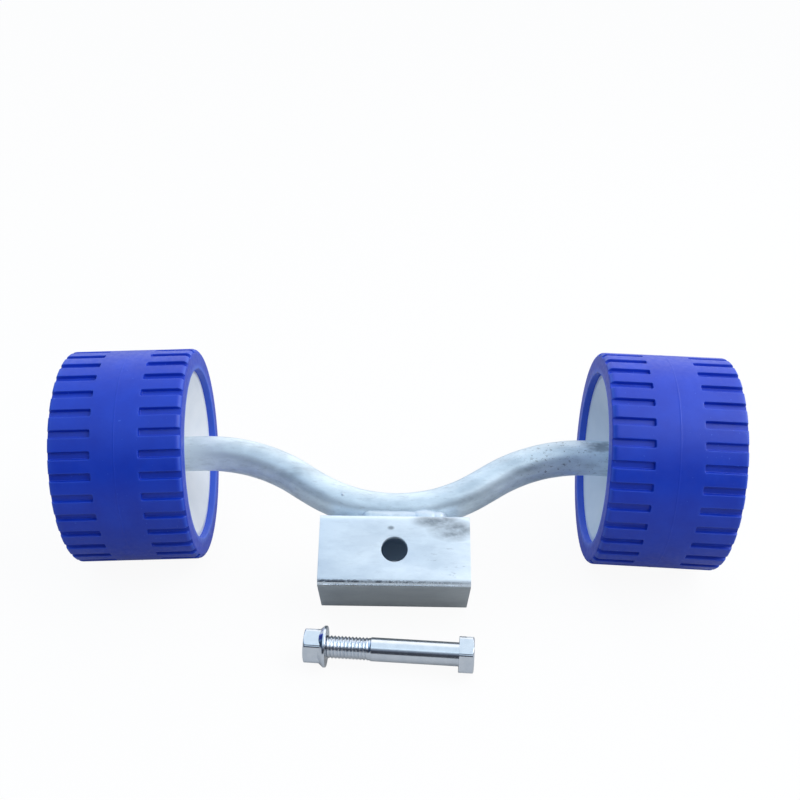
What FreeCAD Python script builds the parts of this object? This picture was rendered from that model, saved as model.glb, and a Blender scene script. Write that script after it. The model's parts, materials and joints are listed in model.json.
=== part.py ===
import FreeCAD, Part
import math
import os

import Sketcher

# Boat trailer roller: two ribbed wheels on the ends of a gull-wing bar, with a square tube welded under
# the middle of the bar.
# Each piece is drawn upright: X along the axle, Y along the tube's bolt hole, Z from the tube up to the axle,
# origin at the middle of the bolt hole. The whole roller is then laid back about X until it rests on the
# floor on both wheels and on the tube's lower back edge, with its loose bolt and nut in front of it.

doc = FreeCAD.newDocument("boat_trailer_roller")
sheet = doc.addObject("Spreadsheet::Sheet", "sizes")

# Driving dimensions, in millimetres and degrees
DRIVING = (
    ("wheel_diameter", 120.0, "ribbed tyre, outside"),
    ("wheel_width", 69.0, "ribbed tyre, rim to rim"),
    ("shoulder_radius", 1.5, "rounding from tread to outer rim"),
    ("inner_shoulder_radius", 3.0, "rounding from tread to the rim that faces the other wheel"),
    ("lip_radius", 0.8, "rounding of the opening's edge"),
    ("tyre_wall", 11.5, "blue tyre round its core"),
    ("core_recess", 3.8, "from the rim back to the edge of the core"),
    ("rib_count", 33, "ribs round each row"),
    ("left_wheel_turn", 4.3, "how far the left wheel is turned, degrees"),
    ("right_wheel_turn", 9.5, "how far the right wheel is turned, degrees"),
    ("groove_width", 4.2, "square-ended groove between two ribs"),
    ("groove_depth", 2.0, "from the tread to a groove's flat floor"),
    ("middle_band", 25.0, "smooth band between the two rows of grooves"),
    ("dish_edge", 3.0, "flat ring of the core outside its dish"),
    ("dish_depth", 13.8, "from the edge of the core in to its boss"),
    ("boss_wall", 6.0, "flat face of the core round the bar"),
    ("core_edge_radius", 1.0, "rounding where the dish starts"),
    ("running_clearance", 0.08, "core's bore over the bar, on the radius"),
    ("side_play", 0.5, "between a washer and the boss"),
    ("bar_diameter", 20.0, "round bar"),
    ("axle_rise", 62.7, "from the hole's middle up to the wheels' middles"),
    ("knee_to_wheel", 1.0, "straight bar between the knee bend and the near rim of a wheel"),
    ("end_droop", 2.5, "fall of the bar's ends outwards, degrees"),
    ("saddle_radius", 86.0, "bend in the middle, on the bar's centre line"),
    ("arm_length", 10.0, "straight stretch between saddle and knee"),
    ("knee_radius", 95.0, "bend near a wheel, on the bar's centre line"),
    ("bar_end_chamfer", 1.2, "both ends of the bar"),
    ("bar_overhang", 8.0, "from the split pin's middle to the bar's end"),
    ("collar_wall", 4.0, "stop ring on the bar, inside a wheel"),
    ("collar_width", 3.0, "along the bar"),
    ("collar_chamfer", 0.6, "outer edges of the stop ring"),
    ("collar_clearance", 0.05, "stop ring over the bar, on the radius"),
    ("washer_rim", 6.5, "flat washer, from its hole to its edge"),
    ("washer_thickness", 2.5, "flat washer"),
    ("washer_clearance", 0.5, "washer over the bar, on the radius"),
    ("pin_diameter", 4.0, "split pin's two legs together"),
    ("pin_hole_clearance", 0.25, "pin in its hole, on the radius"),
    ("pin_split", 0.2, "between the legs"),
    ("pin_reach", 7.0, "legs past the bar before they are bent"),
    ("pin_tip", 6.0, "bent end of a leg"),
    ("pin_tip_bend", 38.0, "degrees away from the leg"),
    ("pin_eye_diameter", 8.4, "outside of the eye"),
    ("pin_washer_gap", 0.3, "between the pin and the outer washer"),
    ("tube_length", 80.0, "square tube, along the axle"),
    ("tube_size", 40.0, "square tube, each side"),
    ("tube_wall", 3.0, "wall of the square tube"),
    ("tube_corner", 4.0, "outer corner of the square tube"),
    ("tube_inner_corner", 1.5, "inner corner of the square tube"),
    ("bolt_hole_clearance", 1.0, "bolt in its hole through the tube, on the radius"),
    ("weld_length", 44.0, "bead on each side of the bar"),
    ("weld_shift", 3.0, "bead's middle to the right of the hole"),
    ("weld_radius", 4.6, "round of the bead"),
    ("weld_bite", 2.85, "depth of the bead's round in the bar"),
    ("weld_lift", 1.6, "bead's middle over the tube"),
    ("bolt_diameter", 12.0, "shank"),
    ("bolt_length", 75.0, "under the head"),
    ("thread_length", 30.0, "threaded end, nut included"),
    ("thread_depth", 0.7, "shank to the threaded end, on the radius"),
    ("bolt_point", 1.2, "chamfer of the bolt's end"),
    ("head_across_flats", 18.0, "bolt head"),
    ("head_height", 7.5, "bolt head"),
    ("head_crown", 1.1, "height that the head's corners lose to its crown"),
    ("head_crown_loss", 1.8, "the same on the radius, at the outer face"),
    ("nut_across_flats", 17.0, "flange nut"),
    ("nut_height", 11.5, "flange nut with its flange"),
    ("nut_crown", 2.2, "height that the nut's corners lose to its crown"),
    ("nut_crown_loss", 2.6, "the same on the radius, at the outer face"),
    ("flange_diameter", 21.0, "flange of the nut"),
    ("flange_rim", 1.4, "flange thickness at its edge"),
    ("flange_cone", 2.4, "height of the cone from rim to hexagon"),
    ("thread_clearance", 0.1, "nut's bore over the threaded end"),
    ("nut_inset", 3.5, "bolt's end back from the nut's outer face"),
    ("corner_lift", 42.0, "a corner of both hexagons, up from the floor towards the viewer, degrees"),
    ("bolt_yaw", 3.3, "bolt's head end nearer to the viewer, degrees"),
    ("bolt_right", -2.2, "middle of the bolt, right of the hole"),
    ("bolt_front", 53.0, "middle of the bolt, in front of the hole"),
)
filled_rows = []


def enter(alias, value, note):
    """Writes a named number into the sheet's next row and gives it back."""
    filled_rows.append(alias)
    row = len(filled_rows)
    sheet.set(f"A{row}", alias)
    sheet.set(f"B{row}", repr(value))
    sheet.setAlias(f"B{row}", alias)
    sheet.set(f"C{row}", note)
    return value


for name, number, meaning in DRIVING:
    enter(name, number, meaning)
doc.recompute()


def size(alias):
    """The number in the cell of that name."""
    return float(sheet.get(alias))


# Turns, in degrees, and the numbers by which a sketch's constraints name points and axes
FULL_TURN = 360
HALF_TURN = 180
QUARTER_TURN = 90
HEXAGON_SIDES = 6
START_INDEX, END_INDEX, CENTRE_INDEX = 1, 2, 3
X_AXIS_INDEX, Y_AXIS_INDEX = -1, -2
SKETCH_ORIGIN = (X_AXIS_INDEX, START_INDEX)

# Places along a wheel's own axis, from the wheel's middle outwards
half_width = size("wheel_width") / 2
boss_face = half_width - size("core_recess") - size("dish_depth")
washer_outside = boss_face + size("side_play") + size("washer_thickness")
pin_place = washer_outside + size("pin_washer_gap") + size("pin_diameter") / 2
enter("pin_place", pin_place, "from a wheel's middle to its split pin")
core_diameter = size("wheel_diameter") - 2 * size("tyre_wall")
enter("core_diameter", core_diameter, "white core, and the opening that shows it")

# The bar's centre line, right half: saddle bend, arm, knee bend, straight end
bar_radius = size("bar_diameter") / 2
droop = math.radians(size("end_droop"))
saddle_height = size("tube_size") / 2 + bar_radius
knee_to_middle = size("knee_to_wheel") + half_width


def rising_slope():
    """The arms' rise, in radians, that brings the wheels' middles up to the axle's height."""
    bends = size("saddle_radius") + size("knee_radius")
    straight = size("arm_length")
    top = saddle_height + size("saddle_radius") + size("knee_radius") * math.cos(droop)
    spare = top - knee_to_middle * math.sin(droop) - size("axle_rise")
    return math.acos(spare / math.hypot(bends, straight)) - math.atan2(straight, bends)


slope = rising_slope()
enter("arm_slope", math.degrees(slope), "rise of the bar's arms, degrees")
saddle_out = size("saddle_radius") * math.sin(slope)
saddle_up = saddle_height + size("saddle_radius") * (1 - math.cos(slope))
arm_out = size("arm_length") * math.cos(slope)
knee_out = size("knee_radius") * (math.sin(slope) + math.sin(droop))
wheel_middle = saddle_out + arm_out + knee_out + knee_to_middle * math.cos(droop)
doc.recompute()


def lowest_wheel_point(tilt):
    """Height over the hole of the lowest point of a wheel, on its outer shoulder, at that tilt."""
    fall = math.sin(droop) * math.sin(tilt)
    level = math.sqrt(1 - fall * fall)
    axis_height = size("axle_rise") * math.sin(tilt)
    shoulder_out = half_width - size("shoulder_radius")
    shoulder_up = size("wheel_diameter") / 2 - size("shoulder_radius")
    return axis_height - shoulder_out * fall - shoulder_up * level - size("shoulder_radius")


def lowest_tube_point(tilt):
    """Height over the hole of the lowest point of the tube, on its rounded lower back edge, at that tilt."""
    corner = size("tube_size") / 2 - size("tube_corner")
    return -corner * (math.sin(tilt) + math.cos(tilt)) - size("tube_corner")


def resting_tilt():
    """The angle of the bar's plane to the floor, in radians, at which wheels and tube all touch it."""
    halvings = 60
    low, high = 0, math.pi / 2
    for _ in range(halvings):
        middle = (low + high) / 2
        if lowest_wheel_point(middle) < lowest_tube_point(middle):
            low = middle
        else:
            high = middle
    return middle


tilt = resting_tilt()
floor_height = lowest_tube_point(tilt)
X_AXIS = FreeCAD.Vector(1, 0, 0)
Y_AXIS = FreeCAD.Vector(0, 1, 0)
Z_AXIS = FreeCAD.Vector(0, 0, 1)
ALONG_X = FreeCAD.Rotation(Y_AXIS, QUARTER_TURN)
AGAINST_X = FreeCAD.Rotation(Y_AXIS, -QUARTER_TURN)
ALONG_Y = FreeCAD.Rotation(X_AXIS, -QUARTER_TURN)
NEAR = 1e-4


def place(x=0.0, y=0.0, z=0.0, rotation=FreeCAD.Rotation()):
    """A placement from its parts."""
    return FreeCAD.Placement(FreeCAD.Vector(x, y, z), rotation)


lay_back = place(rotation=FreeCAD.Rotation(X_AXIS, math.degrees(tilt) - QUARTER_TURN))


def bind(item, **expressions):
    """Binds an object's sizes to the sheet."""
    for prop, expression in expressions.items():
        item.setExpression(prop, expression)
    return item


def end_frame(side):
    """The frame of one end of the bar: X points outwards along it, the origin is the wheel's middle."""
    right = place(wheel_middle, 0, size("axle_rise"), FreeCAD.Rotation(Y_AXIS, size("end_droop")))
    to_side = place(rotation=FreeCAD.Rotation(Z_AXIS, 0 if side == "right" else HALF_TURN))
    return lay_back.multiply(to_side).multiply(right)


def wheel_frame(side):
    """The same frame, turned about X as that wheel stands on the bar."""
    turn = FreeCAD.Rotation(X_AXIS, size(side + "_wheel_turn"))
    return end_frame(side).multiply(place(rotation=turn))


def edges_where(feature, test):
    """Names of a feature's edges that pass a test on the edge."""
    return [f"Edge{k}" for k, edge in enumerate(feature.Shape.Edges, start=1) if test(edge)]


def is_ring(edge, radius, x):
    """Whether an edge is a circle of that radius about the X axis, that far to either side."""
    curve = edge.Curve
    if not isinstance(curve, Part.Circle) or abs(curve.Radius - radius) > NEAR:
        return False
    return abs(abs(curve.Center.x) - x) < NEAR


def runs_along_x(edge, y, z):
    """Whether an edge is a straight one along X, that far out in Y and Z."""
    middle = edge.CenterOfMass
    straight = isinstance(edge.Curve, Part.Line) and abs(edge.Curve.Direction.x) > 1 - NEAR
    return straight and abs(abs(middle.y) - y) < NEAR and abs(abs(middle.z) - z) < NEAR


def new_body(label):
    """An empty body with that label."""
    body = doc.addObject("PartDesign::Body", label)
    body.Label = label
    return body


def origin_item(body, role):
    """One of a body's own origin planes or axes."""
    return next(item for item in body.Origin.OriginFeatures if item.Role == role)


def add_feature(body, kind, name, placement=None, **expressions):
    """A feature of a body, with its sizes bound to the sheet, and the body recomputed."""
    feature = body.newObject("PartDesign::" + kind, name)
    bind(feature, **expressions)
    if placement is not None:
        feature.Placement = placement
    doc.recompute()
    return feature


def add_sketch(body, name, plane):
    """An empty sketch on one of a body's own origin planes."""
    sketch = body.newObject("Sketcher::SketchObject", name)
    sketch.AttachmentSupport = [(origin_item(body, plane), "")]
    sketch.MapMode = "FlatFace"
    return sketch


def constrain(sketch, *constraints):
    """Adds constraints that have no size of their own."""
    for constraint in constraints:
        sketch.addConstraint(Sketcher.Constraint(*constraint))


def dimension(sketch, expression, *constraint):
    """Adds one constraint whose size is bound to the sheet."""
    number = sketch.addConstraint(Sketcher.Constraint(*constraint))
    sketch.setExpression(f"Constraints[{number}]", expression)


def dress_edges(body, kind, name, base, test, **expressions):
    """A fillet or chamfer on those edges of a body's last feature that pass the test."""
    feature = body.newObject("PartDesign::" + kind, name)
    feature.Base = (base, edges_where(base, test))
    bind(feature, **expressions)
    doc.recompute()
    return feature


def add_solid(kind, name, placement, **expressions):
    """A Part primitive with its sizes bound to the sheet."""
    solid = doc.addObject("Part::" + kind, name)
    solid.Placement = placement
    return bind(solid, **expressions)


def fuse(name, solids):
    """One solid of several."""
    joined = doc.addObject("Part::MultiFuse", name)
    joined.Shapes = solids
    joined.Refine = True
    return joined


def cut(name, base, tool):
    """A solid less another."""
    less = doc.addObject("Part::Cut", name)
    less.Base = base
    less.Tool = tool
    return less


def name_piece(piece, label, placement):
    """Gives a finished piece its label and its place."""
    piece.Label = label
    piece.Placement = placement
    doc.recompute()
    return piece


def draw_bar_path(body, name):
    """The right half of the bar's centre line: saddle bend, arm, knee bend and straight end."""
    path = add_sketch(body, name, "XZ_Plane")
    saddle_centre = FreeCAD.Vector(0, saddle_height + size("saddle_radius"), 0)
    arm_start = FreeCAD.Vector(saddle_out, saddle_up, 0)
    arm_end = arm_start + FreeCAD.Vector(math.cos(slope), math.sin(slope), 0) * size("arm_length")
    knee_centre = arm_end + FreeCAD.Vector(math.sin(slope), -math.cos(slope), 0) * size("knee_radius")
    knee_end = knee_centre + FreeCAD.Vector(math.sin(droop), math.cos(droop), 0) * size("knee_radius")
    end_length = knee_to_middle + pin_place + size("bar_overhang")
    bar_end = knee_end + FreeCAD.Vector(math.cos(droop), -math.sin(droop), 0) * end_length
    down = -math.pi / 2
    saddle_circle = Part.Circle(saddle_centre, Z_AXIS, size("saddle_radius"))
    knee_circle = Part.Circle(knee_centre, Z_AXIS, size("knee_radius"))
    saddle = path.addGeometry(Part.ArcOfCircle(saddle_circle, down, slope + down))
    arm = path.addGeometry(Part.LineSegment(arm_start, arm_end))
    knee = path.addGeometry(Part.ArcOfCircle(knee_circle, -down - droop, slope - down))
    end = path.addGeometry(Part.LineSegment(knee_end, bar_end))
    constrain(
        path,
        ("Tangent", saddle, END_INDEX, arm, START_INDEX),
        ("Tangent", arm, END_INDEX, knee, END_INDEX),
        ("Tangent", knee, START_INDEX, end, START_INDEX),
        ("PointOnObject", saddle, CENTRE_INDEX, Y_AXIS_INDEX),
        ("PointOnObject", saddle, START_INDEX, Y_AXIS_INDEX),
    )
    rise = "sizes.tube_size / 2 + sizes.bar_diameter / 2"
    run = "sizes.knee_to_wheel + sizes.wheel_width / 2 + sizes.pin_place + sizes.bar_overhang"
    dimension(path, "sizes.saddle_radius", "Radius", saddle, size("saddle_radius"))
    dimension(path, "sizes.knee_radius", "Radius", knee, size("knee_radius"))
    dimension(path, rise, "DistanceY", *SKETCH_ORIGIN, saddle, START_INDEX, saddle_height)
    dimension(path, "sizes.arm_length", "Distance", arm, size("arm_length"))
    dimension(path, "sizes.arm_slope", "Angle", X_AXIS_INDEX, arm, slope)
    dimension(path, "sizes.end_droop", "Angle", end, X_AXIS_INDEX, droop)
    dimension(path, run, "Distance", end, end_length)
    return path, bar_end


def make_bar(label):
    """The gull-wing bar: half of it swept along its centre line, drilled for the split pin, then mirrored."""
    body = new_body(label)
    path, bar_end = draw_bar_path(body, label + "_path")
    section = add_sketch(body, label + "_section", "YZ_Plane")
    ring = section.addGeometry(Part.Circle(FreeCAD.Vector(0, saddle_height, 0), Z_AXIS, bar_radius))
    constrain(section, ("PointOnObject", ring, CENTRE_INDEX, Y_AXIS_INDEX))
    rise = "sizes.tube_size / 2 + sizes.bar_diameter / 2"
    dimension(section, "sizes.bar_diameter", "Diameter", ring, 2 * bar_radius)
    dimension(section, rise, "DistanceY", *SKETCH_ORIGIN, ring, CENTRE_INDEX, saddle_height)
    doc.recompute()
    half = body.newObject("PartDesign::AdditivePipe", label + "_half")
    half.Profile = section
    half.Spine = (path, [f"Edge{k}" for k in range(1, len(path.Shape.Edges) + 1)])
    doc.recompute()
    dress_edges(
        body,
        "Chamfer",
        label + "_end_chamfer",
        half,
        lambda edge: edge.CenterOfMass.x > bar_end.x - bar_radius,
        Size="sizes.bar_end_chamfer",
    )
    pin_out = wheel_middle + pin_place * math.cos(droop)
    pin_up = size("axle_rise") - pin_place * math.sin(droop)
    add_feature(
        body,
        "SubtractiveCylinder",
        label + "_pin_hole",
        place(pin_out, -bar_radius, pin_up, ALONG_Y),
        Radius="sizes.pin_diameter / 2 + sizes.pin_hole_clearance",
        Height="sizes.bar_diameter",
    )
    whole = body.newObject("PartDesign::Mirrored", label + "_mirrored")
    whole.TransformMode = "Whole shape"
    whole.MirrorPlane = (origin_item(body, "YZ_Plane"), [""])
    body.Tip = whole
    body.Placement = lay_back
    doc.recompute()
    return body


def make_tube(label):
    """The square tube with its bolt hole, drawn about the hole's middle."""
    body = new_body(label)
    left_end = -size("tube_length") / 2
    half = size("tube_size") / 2
    inside = half - size("tube_wall")
    block = add_feature(
        body,
        "AdditiveBox",
        label + "_block",
        place(left_end, -half, -half),
        Length="sizes.tube_length",
        Width="sizes.tube_size",
        Height="sizes.tube_size",
    )
    dress_edges(
        body,
        "Fillet",
        label + "_corners",
        block,
        lambda edge: runs_along_x(edge, half, half),
        Radius="sizes.tube_corner",
    )
    hollow = add_feature(
        body,
        "SubtractiveBox",
        label + "_hollow",
        place(left_end, -inside, -inside),
        Length="sizes.tube_length",
        Width="sizes.tube_size - 2 * sizes.tube_wall",
        Height="sizes.tube_size - 2 * sizes.tube_wall",
    )
    dress_edges(
        body,
        "Fillet",
        label + "_inner_corners",
        hollow,
        lambda edge: runs_along_x(edge, inside, inside),
        Radius="sizes.tube_inner_corner",
    )
    add_feature(
        body,
        "SubtractiveCylinder",
        label + "_bolt_hole",
        place(0, -half, 0, ALONG_Y),
        Radius="sizes.bolt_diameter / 2 + sizes.bolt_hole_clearance",
        Height="sizes.tube_size",
    )
    body.Placement = lay_back
    doc.recompute()
    return body


def make_weld(label, front, bar, tube):
    """A round-ended weld bead in the corner of bar and tube; front is -1 for the viewer's side, 1 behind."""
    left_end = size("weld_shift") - size("weld_length") / 2
    right_end = left_end + size("weld_length")
    from_bar = bar_radius + size("weld_radius") - size("weld_bite")
    under_bar = bar_radius - size("weld_lift")
    y = front * math.sqrt(from_bar**2 - under_bar**2)
    z = size("tube_size") / 2 + size("weld_lift")
    run = add_solid(
        "Cylinder",
        label + "_run",
        place(left_end, y, z, ALONG_X),
        Radius="sizes.weld_radius",
        Height="sizes.weld_length",
    )
    start = add_solid("Sphere", label + "_start", place(left_end, y, z), Radius="sizes.weld_radius")
    stop = add_solid("Sphere", label + "_stop", place(right_end, y, z), Radius="sizes.weld_radius")
    bead = fuse(label + "_bead", [run, start, stop])
    bead.Placement = lay_back
    clear_of_bar = cut(label + "_clear_of_bar", bead, bar)
    return name_piece(cut(label, clear_of_bar, tube), label, place())


def cut_first_grooves(body, label):
    """The first groove of each row: a square-ended slot that runs out over the tyre's shoulder."""
    groove_floor = size("wheel_diameter") / 2 - size("groove_depth")
    grooves = []
    for name, left_end in (("left", -half_width), ("right", size("middle_band") / 2)):
        groove = add_feature(
            body,
            "SubtractiveBox",
            f"{label}_{name}_groove",
            place(left_end, -size("groove_width") / 2, groove_floor),
            Length="(sizes.wheel_width - sizes.middle_band) / 2",
            Width="sizes.groove_width",
            Height="2 * sizes.groove_depth",
        )
        grooves.append(groove)
    return grooves


def make_tyre(label, side):
    """The ribbed tyre: a thick ring with two rows of square-ended grooves that run out over its shoulders."""
    body = new_body(label)

    def is_tread_end(edge, side_sign):
        """Whether an edge is the circle in which the tread ends, on the outer (1) or the inner side (-1)."""
        return is_ring(edge, size("wheel_diameter") / 2, half_width) and edge.Curve.Center.x * side_sign > 0

    ring = add_feature(
        body,
        "AdditiveCylinder",
        label + "_blank",
        place(-half_width, 0, 0, ALONG_X),
        Radius="sizes.wheel_diameter / 2",
        Height="sizes.wheel_width",
    )
    outer_shoulder = dress_edges(
        body,
        "Fillet",
        label + "_outer_shoulder",
        ring,
        lambda edge: is_tread_end(edge, 1),
        Radius="sizes.shoulder_radius",
    )
    dress_edges(
        body,
        "Fillet",
        label + "_inner_shoulder",
        outer_shoulder,
        lambda edge: is_tread_end(edge, -1),
        Radius="sizes.inner_shoulder_radius",
    )
    opening = add_feature(
        body,
        "SubtractiveCylinder",
        label + "_opening",
        place(-half_width, 0, 0, ALONG_X),
        Radius="sizes.core_diameter / 2",
        Height="sizes.wheel_width",
    )
    dress_edges(
        body,
        "Fillet",
        label + "_lips",
        opening,
        lambda edge: is_ring(edge, core_diameter / 2, half_width),
        Radius="sizes.lip_radius",
    )
    first_grooves = cut_first_grooves(body, label)
    rows = body.newObject("PartDesign::PolarPattern", label + "_grooves")
    rows.Originals = first_grooves
    rows.Axis = (origin_item(body, "X_Axis"), [""])
    rows.Angle = FULL_TURN
    bind(rows, Occurrences="sizes.rib_count")
    body.Tip = rows
    body.Placement = wheel_frame(side)
    doc.recompute()
    return body


def make_core(label, side):
    """The white core that carries a tyre: dished on both faces down to a boss, bored for the bar."""
    body = new_body(label)
    face = half_width - size("core_recess")
    drum = add_feature(
        body,
        "AdditiveCylinder",
        label + "_drum",
        place(-face, 0, 0, ALONG_X),
        Radius="sizes.core_diameter / 2",
        Height="sizes.wheel_width - 2 * sizes.core_recess",
    )
    dish_radius = core_diameter / 2 - size("dish_edge")
    for name, x, rotation in (("inner", -face, ALONG_X), ("outer", face, AGAINST_X)):
        drum = add_feature(
            body,
            "SubtractiveCone",
            f"{label}_{name}_dish",
            place(x, 0, 0, rotation),
            Radius1="sizes.core_diameter / 2 - sizes.dish_edge",
            Radius2="sizes.bar_diameter / 2 + sizes.boss_wall",
            Height="sizes.dish_depth",
        )
    dress_edges(
        body,
        "Fillet",
        label + "_dish_edges",
        drum,
        lambda edge: is_ring(edge, dish_radius, face),
        Radius="sizes.core_edge_radius",
    )
    add_feature(
        body,
        "SubtractiveCylinder",
        label + "_bore",
        place(-face, 0, 0, ALONG_X),
        Radius="sizes.bar_diameter / 2 + sizes.running_clearance",
        Height="sizes.wheel_width",
    )
    body.Placement = wheel_frame(side)
    doc.recompute()
    return body


def is_round(edge):
    """Whether an edge is a circle."""
    return isinstance(edge.Curve, Part.Circle)


def make_ring(label, side, x, outer, bore, width, chamfer=None):
    """A ring round the bar in a wheel's frame: a washer, or a stop collar where a chamfer is given."""
    body = new_body(label)
    at = place(x, 0, 0, ALONG_X)
    ring = add_feature(body, "AdditiveCylinder", label + "_ring", at, Radius=outer, Height=width)
    if chamfer:
        dress_edges(body, "Chamfer", label + "_edges", ring, is_round, Size=chamfer)
    add_feature(body, "SubtractiveCylinder", label + "_bore", at, Radius=bore, Height=width)
    body.Placement = end_frame(side)
    doc.recompute()
    return body


def make_split_pin(label, side):
    """A split pin across the bar: two half-round legs, an eye in front and tips bent apart behind."""
    wire = (size("pin_diameter") - size("pin_split")) / 2
    wire_cell = "(sizes.pin_diameter - sizes.pin_split) / 2"
    half_gap = size("pin_split") / 2
    eye_y = -bar_radius - size("pin_eye_diameter") / 2
    tip_y = bar_radius + size("pin_reach")
    pieces = []
    for way, name in ((1, "upper"), (-1, "lower")):
        facing = ALONG_Y.multiply(FreeCAD.Rotation(Z_AXIS, HALF_TURN if way > 0 else 0))
        bent = FreeCAD.Rotation(X_AXIS, way * size("pin_tip_bend")).multiply(facing)
        leg = add_solid(
            "Cylinder",
            f"{label}_{name}_leg",
            place(pin_place, -bar_radius - wire, way * half_gap, facing),
            Radius=wire_cell,
            Height=f"sizes.bar_diameter + {wire_cell} + sizes.pin_reach",
        )
        tip = add_solid(
            "Cylinder",
            f"{label}_{name}_tip",
            place(pin_place, tip_y, way * half_gap, bent),
            Radius=wire_cell,
            Height="sizes.pin_tip",
        )
        leg.Angle = HALF_TURN
        tip.Angle = HALF_TURN
        pieces += [leg, tip]
    eye = add_solid(
        "Torus",
        label + "_eye",
        place(pin_place, eye_y, 0, ALONG_X),
        Radius1=f"(sizes.pin_eye_diameter - {wire_cell}) / 2",
        Radius2=f"{wire_cell} / 2",
    )
    pin = fuse(label, [*pieces, eye])
    return name_piece(pin, label, end_frame(side))


def make_hexagon(name, placement, flats, height, crown, loss):
    """A hexagonal prism from its bearing face up, with the crown that rounds its outer corners."""
    corner = f"sizes.{flats} / sqrt(3)"
    prism = add_solid("Prism", name + "_prism", placement, Circumradius=corner, Height=f"sizes.{height}")
    prism.Polygon = HEXAGON_SIDES
    widening = f"sizes.{loss} * (sizes.{height} / sizes.{crown} - 1)"
    crown_cone = add_solid(
        "Cone",
        name + "_crown",
        placement,
        Radius1=f"{corner} + {widening}",
        Radius2=f"{corner} - sizes.{loss}",
        Height=f"sizes.{height}",
    )
    hexagon = doc.addObject("Part::Common", name)
    hexagon.Base = prism
    hexagon.Tool = crown_cone
    return hexagon


# The loose bolt lies along X, head to the right: on the nut's flange and on a corner of its head
nut_start = -size("nut_inset")
flange_face = nut_start + size("nut_height")
head_corner = size("head_across_flats") / math.sqrt(3)
corner_turn = FULL_TURN / HEXAGON_SIDES
corner_angles = [math.radians(size("corner_lift") - corner_turn * k) for k in range(HEXAGON_SIDES)]
head_reach = head_corner * max(-math.sin(angle) for angle in corner_angles)
flange_radius = size("flange_diameter") / 2
bolt_dip = math.asin((flange_radius - head_reach) / (size("bolt_length") - flange_face))
hexagon_turn = FreeCAD.Rotation(X_AXIS, -QUARTER_TURN - size("corner_lift"))


def bolt_frame():
    """The bolt's own frame: X runs from its pointed end to its head, the origin is that end."""
    yaw = FreeCAD.Rotation(Z_AXIS, -size("bolt_yaw"))
    dip = FreeCAD.Rotation(Y_AXIS, math.degrees(bolt_dip))
    turn = yaw.multiply(dip)
    middle = FreeCAD.Vector((size("bolt_length") + size("head_height") + nut_start) / 2, 0, 0)
    on_flange = turn.multVec(FreeCAD.Vector(flange_face, 0, 0) - middle)
    height = floor_height + flange_radius * math.cos(bolt_dip) - on_flange.z
    spot = FreeCAD.Vector(size("bolt_right"), -size("bolt_front"), height)
    return FreeCAD.Placement(spot - turn.multVec(middle), turn)


def make_bolt(label):
    """The hexagon bolt: head, shank and threaded end, the fine thread itself left plain."""
    hexagon_frame = hexagon_turn.multiply(ALONG_X)
    head = make_hexagon(
        label + "_head",
        place(size("bolt_length"), 0, 0, hexagon_frame),
        "head_across_flats",
        "head_height",
        "head_crown",
        "head_crown_loss",
    )
    shank = add_solid(
        "Cylinder",
        label + "_shank",
        place(size("thread_length"), 0, 0, ALONG_X),
        Radius="sizes.bolt_diameter / 2",
        Height="sizes.bolt_length - sizes.thread_length",
    )
    thread_radius = "(sizes.bolt_diameter / 2 - sizes.thread_depth)"
    thread = add_solid(
        "Cylinder",
        label + "_threaded_end",
        place(size("bolt_point"), 0, 0, ALONG_X),
        Radius=thread_radius,
        Height="sizes.thread_length - sizes.bolt_point",
    )
    point = add_solid(
        "Cone",
        label + "_point",
        place(0, 0, 0, ALONG_X),
        Radius1=f"{thread_radius} - sizes.bolt_point",
        Radius2=thread_radius,
        Height="sizes.bolt_point",
    )
    return name_piece(fuse(label, [head, shank, thread, point]), label, bolt_frame())


def make_nut(label):
    """The flange nut: a crowned hexagon on a cone and a flat rim, bored through."""
    hexagon = make_hexagon(
        label + "_hexagon",
        place(flange_face, 0, 0, hexagon_turn.multiply(AGAINST_X)),
        "nut_across_flats",
        "nut_height",
        "nut_crown",
        "nut_crown_loss",
    )
    rim = add_solid(
        "Cylinder",
        label + "_rim",
        place(flange_face, 0, 0, AGAINST_X),
        Radius="sizes.flange_diameter / 2",
        Height="sizes.flange_rim",
    )
    cone = add_solid(
        "Cone",
        label + "_cone",
        place(flange_face - size("flange_rim"), 0, 0, AGAINST_X),
        Radius1="sizes.flange_diameter / 2",
        Radius2="sizes.nut_across_flats / 2",
        Height="sizes.flange_cone",
    )
    bore = add_solid(
        "Cylinder",
        label + "_bore",
        place(flange_face, 0, 0, AGAINST_X),
        Radius="sizes.bolt_diameter / 2 - sizes.thread_depth + sizes.thread_clearance",
        Height="sizes.nut_height",
    )
    solid = fuse(label + "_solid", [hexagon, rim, cone])
    return name_piece(cut(label, solid, bore), label, bolt_frame())


def make_wheel_end(side):
    """Everything on one end of the bar: the wheel, what it runs between and the split pin."""
    washer_bore = "sizes.bar_diameter / 2 + sizes.washer_clearance"
    collar_bore = "sizes.bar_diameter / 2 + sizes.collar_clearance"
    washer = (washer_bore + " + sizes.washer_rim", washer_bore, "sizes.washer_thickness")
    collar = (collar_bore + " + sizes.collar_wall", collar_bore, "sizes.collar_width", "sizes.collar_chamfer")
    return [
        make_tyre(side + "_tyre", side),
        make_core(side + "_core", side),
        make_ring(side + "_stop_collar", side, -washer_outside - size("collar_width"), *collar),
        make_ring(side + "_inner_washer", side, -washer_outside, *washer),
        make_ring(side + "_outer_washer", side, washer_outside - size("washer_thickness"), *washer),
        make_split_pin(side + "_split_pin", side),
    ]


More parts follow.
